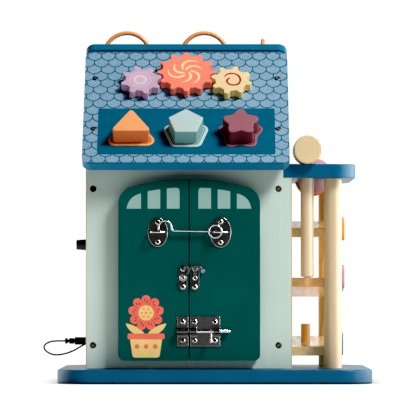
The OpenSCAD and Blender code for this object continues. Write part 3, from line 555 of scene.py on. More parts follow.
def add_lathe(bm, profile, origin, axis, seg=40):
    """Turns a profile of (radius, height along axis), in mm, about an axis; radius 0 closes it."""
    axis = Vector(axis).normalized()
    e1 = axis.orthogonal().normalized()
    e2 = axis.cross(e1)
    origin = Vector(origin)
    rows = []
    for r, h in profile:
        c = origin + axis * h * MM
        if r <= 1e-6:
            rows.append([bm.verts.new(c)])
        else:
            rows.append([bm.verts.new(c + (e1 * math.cos(2 * math.pi * k / seg) + e2 * math.sin(2 * math.pi * k / seg)) * r * MM) for k in range(seg)])
    for a, b in zip(rows, rows[1:]):
        for k in range(seg):
            m = (k + 1) % seg
            if len(a) == 1 and len(b) > 1:
                bm.faces.new((a[0], b[m], b[k]))
            elif len(b) == 1 and len(a) > 1:
                bm.faces.new((a[k], a[m], b[0]))
            elif len(a) > 1:
                bm.faces.new((a[k], a[m], b[m], b[k]))


def add_screw(bm, origin, out, r, rise, turn=0.0, deep=0.7, arm=0.56, wide=0.17, skirt=0.3, recess=0):
    """A domed screw head with a cross recess."""
    out = Vector(out).normalized()
    e1 = out.orthogonal().normalized()
    e2 = out.cross(e1)
    origin = Vector(origin)
    seg, rows = 72, 20
    ring_r = [r * (i / rows) for i in range(1, rows + 1)]

    def sunk(x, y):
        c, s_ = math.cos(turn), math.sin(turn)
        a, b = abs(c * x + s_ * y) / r, abs(-s_ * x + c * y) / r

        def inside(p, t):
            g = min((arm - p) / 0.06, (wide - t) / 0.05)
            return max(0.0, min(1.0, 0.5 + g))

        return max(inside(a, b), inside(b, a))

    def height(x, y):
        q = math.hypot(x, y) / r
        return rise * (1 - q ** 2.6) - deep * rise * sunk(x, y) * (1.0 - 0.35 * q)

    def tint(face, x, y):
        if recess and sunk(x, y) > 0.5:
            face.material_index = recess

    top = bm.verts.new(origin + out * height(0, 0) * MM)
    prev = None
    for q in ring_r:
        ring = []
        for k in range(seg):
            t = 2 * math.pi * k / seg
            x, y = q * math.cos(t), q * math.sin(t)
            ring.append(bm.verts.new(origin + (e1 * x + e2 * y + out * height(x, y)) * MM))
        for k in range(seg):
            m = (k + 1) % seg
            t = 2 * math.pi * (k + 0.5) / seg
            mid = q - r / rows / 2
            f = bm.faces.new((top, ring[k], ring[m]) if prev is None else (prev[k], ring[k], ring[m], prev[m]))
            tint(f, mid * math.cos(t), mid * math.sin(t))
        prev = ring
    low = [bm.verts.new(v.co - out * skirt * MM) for v in prev]
    for k in range(seg):
        m = (k + 1) % seg
        bm.faces.new((prev[k], low[k], low[m], prev[m]))
    bm.faces.new(low)


def smooth_line(p, per=6):
    """Points on a smooth curve through p."""
    p = [Vector(x) for x in p]
    out = []
    for i in range(len(p) - 1):
        a, b, c, d = p[max(i - 1, 0)], p[i], p[i + 1], p[min(i + 2, len(p) - 1)]
        for k in range(per):
            t = k / per
            out.append(0.5 * (2 * b + (c - a) * t + (2 * a - 5 * b + 4 * c - d) * t * t + (3 * b - a - 3 * c + d) * t ** 3))
    return out + [p[-1]]


# ------------------------------------------------------------------ free lead and its plug
LEAD = [(-158, -20, 50.8), (-163, -20, 50.4), (-167, -20.2, 48.8), (-171, -20.8, 46.8),
        (-176, -22, 44), (-181, -23.5, 41), (-187, -25.5, 38.3), (-193, -27.5, 36.3), (-199, -29.5, 35.1),
        (-205, -31.5, 34.7), (-211, -33.5, 35.7), (-216, -35.5, 38.2), (-219.5, -37.2, 41.8), (-220.3, -38.5, 45.8),
        (-217.5, -39.4, 49.3), (-212.5, -39.9, 51.6), (-206, -40, 52.6), (-200, -40, 52.8), (-193.3, -40, 52.8)]
lead_path = smooth_line([V(*p) for p in LEAD], 6)
bm = bmesh.new()
add_tube(bm, lead_path, 1.0 * MM, 14)
lead = from_bm("lead_cord", bm, ["rubber"], "house")
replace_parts(lead, "plug_lead")

bm = bmesh.new()
plug_profile = [(0, 0), (2.6, 0), (3.4, 0.2), (3.6, 0.6), (3.6, 3.0), (3.4, 3.4), (2.1, 3.6), (2.0, 3.8), (2.0, 5.1), (2.3, 5.3),
                (3.4, 5.5), (3.7, 5.8), (3.7, 11.4), (3.5, 11.8), (2.6, 12.0), (2.5, 12.2), (2.5, 12.5), (4.2, 12.6), (4.8, 12.9), (5.0, 13.4)]
h = 14.6
while h < 28.2:  # finger grooves round the body
    plug_profile += [(5.0, h), (4.72, h + 0.25), (4.72, h + 0.75), (5.0, h + 1.0)]
    h += 2.1
plug_profile += [(5.0, 29.7), (4.8, 30.1), (4.4, 30.2), (0, 30.2)]
add_lathe(bm, plug_profile, V(-193.3, -40, 52.8), (1, 0, 0), 44)
add_lathe(bm, [(0, 29.9), (1.75, 29.9), (1.75, 45.0), (1.3, 46.0), (0, 46.3)], V(-193.3, -40, 52.8), (1, 0, 0), 24)
plug = from_bm("plug_body", bm, ["black"], "house", 30)
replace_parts(plug, "jack_plug")


# ------------------------------------------------------------------ house shell
def by_y(f):
    return 0 if abs(f.normal.y) > 0.85 else 1


fine("base_board", ["blue"], 2.4, 4)
panel_ob = fine("front_panel", ["mint", "raw_edge"], 0.9, 2, by_y, material=1)
for v in panel_ob.data.vertices:  # a fine shadow gap where the panel meets the base board
    if v.co.z < 18.3 * MM:
        v.co.z += 0.7 * MM
fine("left_wall", ["mint", "raw_edge"], 0.4, 2, lambda f: 0 if abs(f.normal.x) > 0.85 else 1, material=0)
fine("right_wall", ["mint", "raw_edge"], 0.4, 2, lambda f: 0 if abs(f.normal.x) > 0.85 else 1, material=0)
fine("back_panel", ["mint", "raw_edge"], 0.5, 2, by_y, material=0)
roof_ob = fine("roof_front", ["blue_roof", "roof"], 2.2, 4, lambda f: 1 if f.normal.dot(ROOF[3]) > 0.99 else 0, material=0)
# the print runs out over the rounded left and right edges
shaped = bpy.data.meshes.new_from_object(roof_ob.evaluated_get(bpy.context.evaluated_depsgraph_get()))
roof_ob.modifiers.clear()
roof_ob.data = shaped
for f in shaped.polygons:
    if f.normal.dot(ROOF[3]) > 0.3 and abs(f.normal.x) > 0.9 * math.sqrt(max(0.0, 1.0 - f.normal.dot(ROOF[3]) ** 2)) and abs(f.normal.x) > 0.05:
        f.material_index = 1
fine("roof_back", ["blue_roof"], 2.2, 4)
fine("tower_plate", ["blue_plate"], 2.0, 4)

# bare wood shows along both upright edges of the front panel
PANEL = (V(0, -114, 0), Vector((1, 0, 0)), Vector((0, 0, 1)), Vector((0, -1, 0)))
bm = bmesh.new()
add_plate(bm, rrect(-163.75, 18.6, -162.75, 276.0, 0.2, 2), PANEL, -0.5, 0.05)
add_plate(bm, rrect(96.9, 18.6, 97.95, 260.0, 0.2, 2), PANEL, -0.5, 0.05)
from_bm("panel_edge_lines", bm, ["raw_edge"], "house")

bm = bmesh.new()
add_plate(bm, rrect(-149.3, 16.6, 76.8, 102.0, 3.0), ROOF, -0.05, 0.07)
from_bm("roof_plain_field", bm, ["roof_blue"], "house")

bm = bmesh.new()
for i, (x, z) in enumerate([(-154.6, 48.4), (81, 48.4), (-154.6, 247), (81, 247)]):
    count = len(bm.faces)
    add_screw(bm, V(x, -114.05, z), (0, -1, 0), 4.0, 0.9, 0.4 + 0.7 * i, 0.9, 0.42, 0.3, recess=1)
    add_tube(bm, [V(x, -114, z), V(x, -87, z)], 2.0 * MM, 12)
    if i == 2:  # the upper left one is blacker than the rest
        for f in list(bm.faces)[count:]:
            f.material_index = 2
for i, (x, s_) in enumerate([(-154.6, 64), (81, 64), (-154.6, 159), (81, 159)]):
    add_screw(bm, on(ROOF, x, s_, 0.05), ROOF[3], 4.0, 0.9, 0.2 + 0.9 * i, 0.9, 0.42, 0.3, recess=1)
    add_tube(bm, [on(ROOF, x, s_, 0), on(ROOF, x, s_, -26)], 2.0 * MM, 12)
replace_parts(from_bm("panel_screw_set", bm, ["black_screw", "grey_recess", "ink_screw"], "house", 50), "panel_screws")

# ------------------------------------------------------------------ gears, with their printed ornaments
CX = -36.8
GEARS = {"gear_left": (CX - 60 * math.cos(math.radians(15)), 143.4), "gear_middle": (CX, 143.4 + 60 * math.sin(math.radians(15))),
         "gear_right": (CX + 60 * math.cos(math.radians(15)), 143.4)}
TOP = (12.0 - 0.05, 12.08)
for node, mat in (("gear_left", "lavender"), ("gear_middle", "coral"), ("gear_right", "yellow")):
    # each gear's walls take the lighter _side copy of its paint: painted light
    fine(node, [mat, mat + "_side"], 0.9, 3, lambda f: 0 if abs(f.normal.dot(ROOF[3])) > 0.9 else 1, flat=0.3, material=0)
gx, gs = GEARS["gear_left"][0] - 1.2, GEARS["gear_left"][1]
bm = bmesh.new()
add_plate(bm, arc(gx, gs, 5.7, 0, 354, 59), ROOF, *TOP)
from_bm("gear_left_disc", bm, ["mid_disc"], "gear_left")
for name, mat, r0, r1 in (("gear_left_ring", "pale_ring", 5.7, 9.4), ("gear_left_outer_ring", "faint_ring", 11.5, 14.9)):
    bm = bmesh.new()
    add_band(bm, arc(gx, gs, r0, 0, 356, 89), arc(gx, gs, r1, 0, 356, 89), ROOF, TOP[0], TOP[1], True)
    from_bm(name, bm, [mat], "gear_left")


def ribbon(bm, line, width, fr, w0, w1):
    """A flat printed stroke along a line of points; width gives its width at 0..1 along it."""
    n = len(line)
    left, right = [], []
    for i, (u, v) in enumerate(line):
        a, b = line[max(i - 1, 0)], line[min(i + 1, n - 1)]
        dx, dy = b[0] - a[0], b[1] - a[1]
        q = math.hypot(dx, dy)
        wd = width(i / (n - 1)) / 2
        left.append((u - dy / q * wd, v + dx / q * wd))
        right.append((u + dy / q * wd, v - dx / q * wd))
    add_band(bm, left, right, fr, w0, w1)


def polar_line(cx, cy, stops, n, turn=0.0):
    """Smooth points through (angle, radius) stops about a centre."""
    pts = smooth_line([Vector((a, r, 0)) for a, r in stops], n)
    return [(cx + p.y * math.cos(math.radians(p.x + turn)), cy + p.y * math.sin(math.radians(p.x + turn))) for p in pts]


gx, gs = GEARS["gear_middle"]
bm = bmesh.new()
for k in range(3):  # pinwheel of long and short crescents in turn
    long_arm = polar_line(gx, gs, [(86, 5.4), (75, 9.6), (60, 14.6), (40, 19.6), (20, 22.6), (0, 24.0)], 7, 47 + 120 * k)
    short_arm = polar_line(gx, gs, [(82, 2.8), (67, 6.4), (50, 11.0), (32, 15.4), (14, 18.6), (0, 20.6)], 7, 13 + 120 * k)
    for line in (long_arm, short_arm):
        ribbon(bm, line, lambda q: 3.5 * math.sin(math.pi * min(1.0, 0.12 + 0.88 * q)) ** 0.8 * (1.0 - 0.25 * q) + 0.12, ROOF, *TOP)
from_bm("gear_middle_swirl", bm, ["swirl"], "gear_middle")
gx, gs = GEARS["gear_right"]
bm = bmesh.new()
coil = [(150, 10.0), (120, 11.3), (90, 12.0), (55, 12.2), (5, 11.8), (-42, 11.8), (-74, 10.5), (-122, 7.7), (-165, 5.7), (-210, 4.1), (-248, 3.5)]
ribbon(bm, polar_line(gx, gs, coil, 12), lambda q: 2.5 * min(1.0, 4.5 * q + 0.3) * min(1.0, 5.0 * (1 - q) + 0.5), ROOF, *TOP)
from_bm("gear_right_spiral", bm, ["crimson"], "gear_right")
keep("gear_pins", "zinc")

# ------------------------------------------------------------------ shape blocks and their rims
# each block's walls take the darker copy of its paint: painted shade on the sides
for node, mat, side in (("triangle_block", "orange", "orange_side"), ("pentagon_block", "mint_block", "mint_painted_shade_side"), ("star_block", "plum", "plum_side")):
    fine(node, [mat, side], 1.0, 4, lambda f: 0 if f.normal.dot(ROOF[3]) > 0.9 else 1, flat=0.3, material=0)
# the triangle's rim uses its own lighter orange copy: painted light
for node, mat in (("triangle_rim", "orange_rim_painted_light"), ("pentagon_rim", "mint_block"), ("star_rim", "plum")):
    fine(node, [mat], 0.5, 3, flat=0.3)


def round_loop(pts, r, cx, cy, m=8):
    """Outline of a convex shape with round corners about the given corner centres."""
    out = []
    for i, (x, y) in enumerate(pts):
        (xa, ya), (xb, yb) = pts[i - 1], pts[(i + 1) % len(pts)]
        a = math.degrees(math.atan2(y - ya, x - xa)) - 90
        d = (math.degrees(math.atan2(yb - y, xb - x)) - 90 - a + 720) % 360
        out += arc(cx + x, cy + y, r, a, a + d, m)
    return out


def star_loop(g, cx, cy, n=120):
    out = []
    for i in range(n):
        a = 360 * i / n
        q = abs((a - 54 + 720) % 72 - 36) / 36
        r = 16.4 + 6.9 * (1 - q * q * (3 - 2 * q)) ** 1.15 + g
        out.append((cx + r * math.cos(math.radians(a)), cy - 1.7 + r * math.sin(math.radians(a))))
    return out


TRI = [(-19.6, -15.3), (19.6, -15.3), (0, 15.7)]
PENTA = [(20.3 * math.cos(math.radians(90 + 72 * i)), 20.3 * math.sin(math.radians(90 + 72 * i)) - 1.9) for i in range(5)]
# a fine dark line painted on each rim round its hole: painted shadow of the step round the hole
for name, mat, slot, inner, outer in (
        ("triangle_groove_painted_shadow", "orange_painted_groove_shadow", "orange_paint", round_loop(TRI, 5.3, CX - 69.6, 57), round_loop(TRI, 6.4, CX - 69.6, 57)),
        ("pentagon_groove_painted_shadow", "mint_painted_groove_shadow", "mint_paint", round_loop(PENTA, 4.4, CX, 57), round_loop(PENTA, 5.5, CX, 57)),
        ("star_groove_painted_shadow", "plum_painted_groove_shadow", "plum_paint", star_loop(1.8, CX + 69.6, 57), star_loop(2.9, CX + 69.6, 57))):
    bm = bmesh.new()
    add_band(bm, inner, outer, ROOF, 1.15, 1.27, True)
    from_bm(name, bm, [mat], "house")

# ------------------------------------------------------------------ bead arches
bm = bmesh.new()


def face_z(y):
    return 278 + (167 - y) * math.tan(math.radians(46))


for x in (-115.1, -13.4):
    pts = [V(x - 30.5, 37, z) for z in np.linspace(face_z(37) - 6.5, 423.4, 4)]
    pts += [V(x + 30.5 * math.cos(a), 37, 425.9 + 30.5 * math.sin(a)) for a in np.linspace(math.pi, 0, 41)]
    pts += [V(x + 30.5, 37, z) for z in np.linspace(423.4, face_z(37) - 6.5, 4)]
    add_tube(bm, pts, 2.75 * MM, 20)
pts = [V(63.7, 36, z) for z in np.linspace(face_z(36) - 6.5, 421.3, 4)]
pts += [V(63.7, 61 + 25 * math.cos(a), 423.3 + 25 * math.sin(a)) for a in np.linspace(math.pi, 0, 37)]
pts += [V(63.7, 86, z) for z in np.linspace(421.3, face_z(86) - 6.5, 8)]
add_tube(bm, pts, 2.75 * MM, 20)
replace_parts(from_bm("arch_wire_set", bm, ["wire"], "house", 60), "arch_wires")
keep("bead_left", "yellow", 50)
keep("bead_middle", "mint_block", 50)
keep("bead_right", "plum", 50)

# ------------------------------------------------------------------ ball tower
fine("front_post", ["wood_z"], 0.8, 3)
fine("rear_post", ["wood_rear_painted_light_and_shade"], 0.8, 3)
# each ramp takes its own lit or shaded copy of the beech
for node, mat, width in (("upper_ramp", "ramp_upper_painted_light", 0.8), ("middle_ramp", "ramp_middle_painted_light_and_shade", 0.8), ("lower_ramp", "ramp_lower_painted_shade", 1.6)):
    fine(node, [mat], width, 4)
fine("upper_rail", ["rail_orange"], 0.9, 3)
fine("middle_rail", ["rail_mauve"], 0.9, 3)
fine("lower_rail", ["blue_plate"], 0.9, 3)
fine("ball_stop", ["stain"], 0.8, 3)
fine("mallet_head", ["wood_head", "wood_end"], 0.5, 3, lambda f: 1 if abs(f.normal.y) > 0.95 else 0)
fine("mallet_handle", ["wood_z"], 0.4, 3)
keep("ball_mauve", "ball_mauve", 60)
keep("ball_orange", "ball_orange", 60)

# ------------------------------------------------------------------ doors, printed windows and the flower print
fine("left_door", ["green"], 1.2, 3, flat=0.3)
fine("right_door", ["green"], 1.2, 3, flat=0.3)
INK = (-0.05, 0.06)
curve1 = [(0.0, 0.0), (0.012, 0.08), (0.045, 0.2), (0.10, 0.34), (0.18, 0.49), (0.29, 0.63), (0.42, 0.75), (0.58, 0.85), (0.78, 0.935), (1.0, 1.0)]
WINDOWS = [
    [(-111.7 + 18.2 * a, 221.4 + 19.4 * b) for a, b in curve1] + [(-93.5, 221.4)],
    [(-85.1, 221.4), (-85.1, 243.4), (-77.0, 244.9), (-69.2, 245.9), (-69.2, 221.4)],
    [(-60.8, 221.4), (-60.8, 247.2), (-53.0, 247.7)] + arc(-48.2, 244.3, 3.5, 90, 0, 8) + [(-44.7, 221.4)],
]
for side, body in ((-1, "left_door"), (1, "right_door")):
    bm = bmesh.new()
    for w in WINDOWS:
        loop = w if side < 0 else [(-65.0 - u + -0.6, v) for u, v in w]
        add_plate(bm, loop, DOOR, *INK)
    from_bm(body + "_windows", bm, ["window"], body)

# a plain potted flower in the lower corner of the left door
FX = -87.0
UNDER = (-0.05, 0.035)
bm = bmesh.new()
add_plate(bm, [(FX - 20.5, 58)] + arc(FX - 13.5, 37.0, 4.0, 195, 270, 6) + arc(FX + 13.5, 37.0, 4.0, 270, 345, 6) + [(FX + 20.5, 58)], DOOR, *UNDER)
for s_ in (-1, 1):  # two leaves that lean out over the rim
    line = [(FX + s_ * (3.0 + 22.5 * q), 63.5 + 12.5 * q ** 1.5) for q in np.linspace(0, 1, 19)]
    ribbon(bm, line, lambda q: 8.6 * math.sin(math.pi * min(1.0, 0.06 + 0.94 * q)) ** 0.75 + 0.15, DOOR, *UNDER)
from_bm("left_door_pot_print", bm, ["cream"], "left_door")
bm = bmesh.new()
add_plate(bm, rrect(FX - 23.5, 56.0, FX + 23.5, 63.5, 2.4), DOOR, 0.0, 0.07)
fx, fz = FX, 89.5
for k in range(9):
    a0 = 40 * k + 10
    loop = []
    for i in range(28):
        q = 2 * math.pi * i / 28
        u, v = 14.8 + 7.7 * math.cos(q), 5.5 * math.sin(q) * (1.0 + 0.25 * math.cos(q))
        c, s_ = math.cos(math.radians(a0)), math.sin(math.radians(a0))
        loop.append((fx + u * c - v * s_, fz + u * s_ + v * c))
    add_plate(bm, loop, DOOR, 0.0, 0.07)
from_bm("left_door_petal_print", bm, ["coral_ink"], "left_door")
bm = bmesh.new()
add_plate(bm, arc(fx, fz, 9.6, 0, 354, 59), DOOR, 0.0, 0.11)
from_bm("left_door_heart_print", bm, ["cream"], "left_door")
bm = bmesh.new()
for s_ in (-1, 0, 1):
    add_plate(bm, arc(FX + 11.5 * s_, 47.0, 3.0, 0, 345, 23), DOOR, 0.0, 0.08)
for k in range(6):
    add_plate(bm, arc(fx + 5.6 * math.cos(math.radians(60 * k)), fz + 5.6 * math.sin(math.radians(60 * k)), 1.2, 0, 340, 17), DOOR, 0.0, 0.14)
add_plate(bm, arc(fx, fz, 1.5, 0, 340, 17), DOOR, 0.0, 0.14)
from_bm("left_door_dot_print", bm, ["coral_ink"], "left_door")
bm = bmesh.new()
for k in range(9):
    a0 = math.radians(40 * k + 10)
    for off, r0, r1 in ((-0.09, 12.5, 16.0), (0.10, 14.5, 18.2)):
        a = a0 + off
        c, s_ = math.cos(a), math.sin(a)
        lw = 0.45
        add_band(bm, [(fx + r * c - lw * s_, fz + r * s_ + lw * c) for r in (r0, r1)], [(fx + r * c + lw * s_, fz + r * s_ - lw * c) for r in (r0, r1)], DOOR, 0.0, 0.11)
from_bm("left_door_stroke_print", bm, ["dark_ink"], "left_door")
for n in ("hinge_frame_leaves", "left_hinge_leaves", "right_hinge_leaves", "hinge_pins"):
    keep(n, "zinc", 30)

# ------------------------------------------------------------------ latches
HW = (V(0, -130.4, 0), Vector((1, 0, 0)), Vector((0, 0, 1)), Vector((0, -1, 0)))


def ellipse(cx, cz, a, b, n=72):
    return [(cx + a * math.cos(2 * math.pi * i / n), cz + b * math.sin(2 * math.pi * i / n)) for i in range(n)]


def plate(name, loop, node, body, mats, width=0.5):
    bm = bmesh.new()
    add_plate(bm, loop, HW, -1.4, 0.0)
    ob = from_bm(name, bm, mats, body, 30)
    soften(ob, width, 3, material=len(mats) - 1)
    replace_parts(ob, node)
    return ob


for node, body, x, a, b, sr in (("hook_catch", "left_door", -72.3, 12.7, 18.5, 10.6), ("hook_plate", "right_door", 7.2, 13.4, 19.4, 10.0)):
    plate(node + "_oval", ellipse(x, 191.6, a, b), node, body, ["dark_nickel", "nickel_rim"], 0.55)
    bm = bmesh.new()
    add_tube(bm, [on(HW, x + sr, 191.6, -0.8), on(HW, x + sr, 191.6, -0.2)] + [on(HW, x + sr * math.cos(t), 191.6, sr * math.sin(t)) for t in np.linspace(0.03, math.pi - 0.03, 33)]
             + [on(HW, x - sr, 191.6, -0.2), on(HW, x - sr, 191.6, -0.8)], 1.4 * MM, 16)
    from_bm(node + "_staple", bm, ["chrome"], body, 60)

# the hook: a ring that is bent on into a straight shank, an arch and a tip
EYE, LIFT = V(0.5, -134.0, 192.6), math.radians(5)


def hook_at(x, z):
    return EYE + Vector((x * math.cos(LIFT) + z * math.sin(LIFT), 0, -x * math.sin(LIFT) + z * math.cos(LIFT))) * MM


bm = bmesh.new()
add_tube(bm, [hook_at(8.0 * math.cos(t), 8.0 * math.sin(t)) for t in np.linspace(0, 2 * math.pi, 49)[:-1]], 1.25 * MM, 16, True)
path = [(-7.6, -0.7), (-20, -1.56), (-40, -2.93), (-52.0, -3.75), (-54.2, -3.75), (-55.4, -2.6), (-55.6, -0.5)]
line = [hook_at(*p) for p in path[:4]]
line += [hook_at(-52.0 - 3.6 * math.sin(t), -3.75 + 3.6 - 3.6 * math.cos(t)) for t in np.linspace(0.15, math.pi / 2, 8)]
line += [hook_at(-63.7 + 8.1 * math.cos(t), -0.15 + 8.1 * math.sin(t)) for t in np.linspace(0.05, math.pi, 26)]
line += [hook_at(-71.8, z) for z in (-1.2, -2.4, -3.8)]
add_tube(bm, line, 1.25 * MM, 16, False, True)
hook = from_bm("cabin_hook_wire", bm, ["chrome"], "cabin_hook", 60)
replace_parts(hook, "cabin_hook")


def latch_loop(x):
    return arc(x, 133.7 + 10.6, 5.4, 0, 180, 20) + arc(x, 133.7 - 10.6, 5.4, 180, 360, 20)


plate("latch_catch_plate", latch_loop(-40.3), "latch_catch", "left_door", ["dark_nickel", "dull_rim"], 0.45)
plate("latch_pivot_plate", latch_loop(-25.2), "latch_plate", "right_door", ["dark_nickel", "dull_rim"], 0.45)
bm = bmesh.new()
add_lathe(bm, [(0, -0.5), (1.6, -0.5), (1.6, 3.6), (2.2, 3.6), (2.6, 3.85), (2.6, 4.2), (2.25, 4.55), (1.75, 4.6), (1.45, 4.4), (1.35, 4.1), (0, 4.1)], on(HW, -40.3, 133.7), HW[3], 32)
add_lathe(bm, [(4.6, -0.2), (4.6, 0.3), (4.3, 0.6), (3.4, 0.6), (3.1, 0.3), (3.1, -0.2)], on(HW, -40.3, 133.7), HW[3], 40)
# the stud's top dimple is painted near-black: painted shade
for f in bm.faces:
    if f.calc_center_median().y < -0.1344 and math.hypot(*((f.calc_center_median() - V(-40.3, 0, 133.7)).xz)) < 1.42 * MM:
        f.material_index = 1
from_bm("latch_catch_stud", bm, ["chrome", "recess_painted_shade"], "left_door", 40)
bm = bmesh.new()
add_lathe(bm, [(0, -0.5), (1.55, -0.5), (1.55, 3.3), (2.6, 3.4), (3.0, 3.8), (3.0, 4.2), (2.7, 4.65), (2.2, 4.8), (1.8, 4.65), (1.6, 4.3), (0, 4.25)], on(HW, -25.2, 133.7), HW[3], 32)
# the rivet's top dimple is painted near-black: painted shade
for f in bm.faces:
    if f.calc_center_median().y < -0.1345 and math.hypot(*((f.calc_center_median() - V(-25.2, 0, 133.7)).xz)) < 1.66 * MM:
        f.material_index = 1
from_bm("latch_pivot_rivet", bm, ["chrome", "recess_painted_shade"], "right_door", 40)


def arm_part(f):
    """The arm's handle is polished, the rest is dark."""
    c = f.calc_center_median() - V(-15.0, 0, 142.5)
    return 2 if math.hypot(c.x, c.z) < 3.0 * MM and f.calc_center_median().y < -0.1336 else 0


fine("latch_arm", ["arm_nickel", "nickel_rim", "chrome"], 0.4, 3, arm_part, material=1, flat=0.3)

# barrel bolt: flat plates, pressed straps over the rod, rod with its bent handle
BZ = 66.2
plate("bolt_keeper_plate", rrect(-47.8, BZ - 19, -33.6, BZ + 19, 0.8, 4), "bolt_keeper", "left_door", ["brushed", "nickel_rim"], 0.4)
plate("bolt_plate_flat", rrect(-31.3, BZ - 19, 6.5, BZ + 19, 0.8, 4), "bolt_plate", "right_door", ["brushed", "nickel_rim"], 0.4)


def strap(name, x0, x1, body, inner):
    """A pressed strap: two feet on the plate and a half round over the rod."""
    fr = (V(x0, -130.4, BZ), Vector((0, 0, 1)), Vector((0, -1, 0)), Vector((1, 0, 0)))
    mid, t = 2.9, 1.0
    ro, ri = inner + t, inner
    outer = [(-ro - 3.0, 0.0), (-ro - 3.0, t), (-ro - 0.8, t)] + [(-ro - 0.8 + 0.8 * math.sin(a), t + 0.8 - 0.8 * math.cos(a)) for a in np.linspace(0.2, math.pi / 2, 5)]
    outer += arc(0, mid, ro, 180, 0, 24)
    outer += [(ro + 0.8 - 0.8 * math.sin(a), t + 0.8 - 0.8 * math.cos(a)) for a in np.linspace(math.pi / 2, 0.2, 5)] + [(ro + 0.8, t), (ro + 3.0, t), (ro + 3.0, 0.0)]
    loop = outer + [(ri, 0.0)] + arc(0, mid, ri, 0, 180, 24) + [(-ri, 0.0)]
    bm = bmesh.new()
    add_plate(bm, loop, fr, 0.0, x1 - x0)
    ob = from_bm(name, bm, ["brushed", "nickel_rim"], body, 35)
    soften(ob, 0.25, 2, 50, 1)
    return ob


strap("bolt_strap_left", -31.3, -22.6, "right_door", 2.66)
strap("bolt_strap_right", -2.1, 6.5, "right_door", 2.66)
strap("bolt_keeper_strap", -47.8, -33.6, "left_door", 2.96)
bm = bmesh.new()
RY = -133.3
add_lathe(bm, [(0, 0), (1.6, 0), (2.2, 0.3), (2.55, 1.0), (2.6, 1.6), (2.6, 48.2), (2.35, 48.6), (2.35, 49.0), (2.6, 49.4), (2.5, 50.5), (2.0, 51.3), (1.2, 51.7), (0, 51.8)], V(-32, RY, BZ), (1, 0, 0), 40)
d = Vector((0, -math.sin(math.radians(20)), -math.cos(math.radians(20))))
knob = [V(-4.8, RY, BZ) + d * q * MM for q in (0.0, 2.0, 3.2, 5.0, 8.0, 11.0, 13.0, 14.2)]
add_tube(bm, knob, 1.3 * MM, 18, False, True, [1.9 * MM, 1.75 * MM, 1.4 * MM, 1.25 * MM, 1.25 * MM, 1.35 * MM, 1.65 * MM, 1.7 * MM])
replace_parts(from_bm("barrel_bolt_rod", bm, ["chrome"], "barrel_bolt", 45), "barrel_bolt")

LEFT_AT = [(-72.3, 179.1), (-72.3, 204.1), (-40.3, 122.2), (-40.3, 144.9), (-40.5, 54.3), (-40.5, 78.1)]
RIGHT_AT = [(7.2, 178.6), (7.2, 204.6), (-25.2, 122.2), (-25.2, 144.9), (-25.6, 54.3), (-25.6, 78.1), (0, 54.3), (0, 78.1)]
for node, body, at in (("left_door_screws", "left_door", LEFT_AT), ("right_door_screws", "right_door", RIGHT_AT)):
    bm = bmesh.new()
    for i, (x, z) in enumerate(at):
        # each head's cross recess is painted near-black: painted shade
        add_screw(bm, on(HW, x, z, 0.0), HW[3], 3.2, 1.1, 0.3 + 1.1 * i, 0.95, 0.62, 0.2, recess=1)
        add_tube(bm, [on(HW, x, z, 0.0), on(HW, x, z, -9.4)], 1.15 * MM, 10)
    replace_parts(from_bm(node + "_heads", bm, ["screw", "recess_painted_shade"], body, 50), node)

# ------------------------------------------------------------------ left wall fittings
WX = -160.6
bm = bmesh.new()
add_lathe(bm, [(0, -18), (4.9, -18), (4.9, 0), (6.2, 0), (6.5, 0.3), (6.5, 0.9), (6.3, 1.2), (5.6, 1.3)] + [(5.6 * math.cos(t), 1.3 + 2.0 * math.sin(t)) for t in np.linspace(0.15, math.pi / 2 - 0.02, 8)] + [(0, 3.3)], V(WX, -30, 231), (-1, 0, 0), 40)
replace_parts(from_bm("lamp_lens_dome", bm, ["lens"], "house", 40), "lamp_lens")
bm = bmesh.new()
rows = [(7.5, 0.6), (7.5, 2.2), (7.3, 2.6), (7.25, 3.0), (6.3, 17.3), (6.05, 18.0), (5.5, 18.4)]
seg = 72
ring_rows = []
for i, (r, hgt) in enumerate(rows):
    ring = []
    for k in range(seg):
        t = 2 * math.pi * k / seg
        q = r
        if 2 <= i <= 5:  # grip flutes
            q = r - 0.3 * (0.5 + 0.5 * math.cos(18 * t)) ** 2
        ring.append(bm.verts.new(V(WX - hgt, -30 + q * math.cos(t), 177 + q * math.sin(t))))
    ring_rows.append(ring)
for a, b in zip(ring_rows, ring_rows[1:]):
    for k in range(seg):
        bm.faces.new((a[k], a[(k + 1) % seg], b[(k + 1) % seg], b[k]))
bm.faces.new(ring_rows[0][::-1])
bm.faces.new(ring_rows[-1])
add_plate(bm, rrect(-0.5, 1.2, 0.5, 4.6, 0.3, 3), (V(WX - 18.4, -30, 177), Vector((0, 1, 0)), Vector((0, 0, 1)), Vector((-1, 0, 0))), -0.2, 0.35)
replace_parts(from_bm("switch_knob_fluted", bm, ["black"], "switch_knob", 40), "switch_knob")
keep("switch_body", "black")
fine("jack_socket", ["black"], 0.35, 2)
fine("battery_box", ["black"], 1.0, 3)

# ------------------------------------------------------------------ floor, sky and lights
bm = bmesh.new()
for p in ((-60, -60, 0), (60, -60, 0), (60, 60, 0), (-60, 60, 0)):
    bm.verts.new(Vector(p))
bm.faces.new(bm.verts[:])
floor_mesh = bpy.data.meshes.new("floor")
bm.to_mesh(floor_mesh)
bm.free()
floor = bpy.data.objects.new("floor", floor_mesh)
scene.collection.objects.link(floor)
fs = Sh("floor_white_painted_contact_shade")
fs.set(Base_Color=fs.ramp(fs.noise(3.0, detail=2.0), (0.3, (0.06, 0.06, 0.06, 1)), (0.7, (0.08, 0.08, 0.08, 1))))
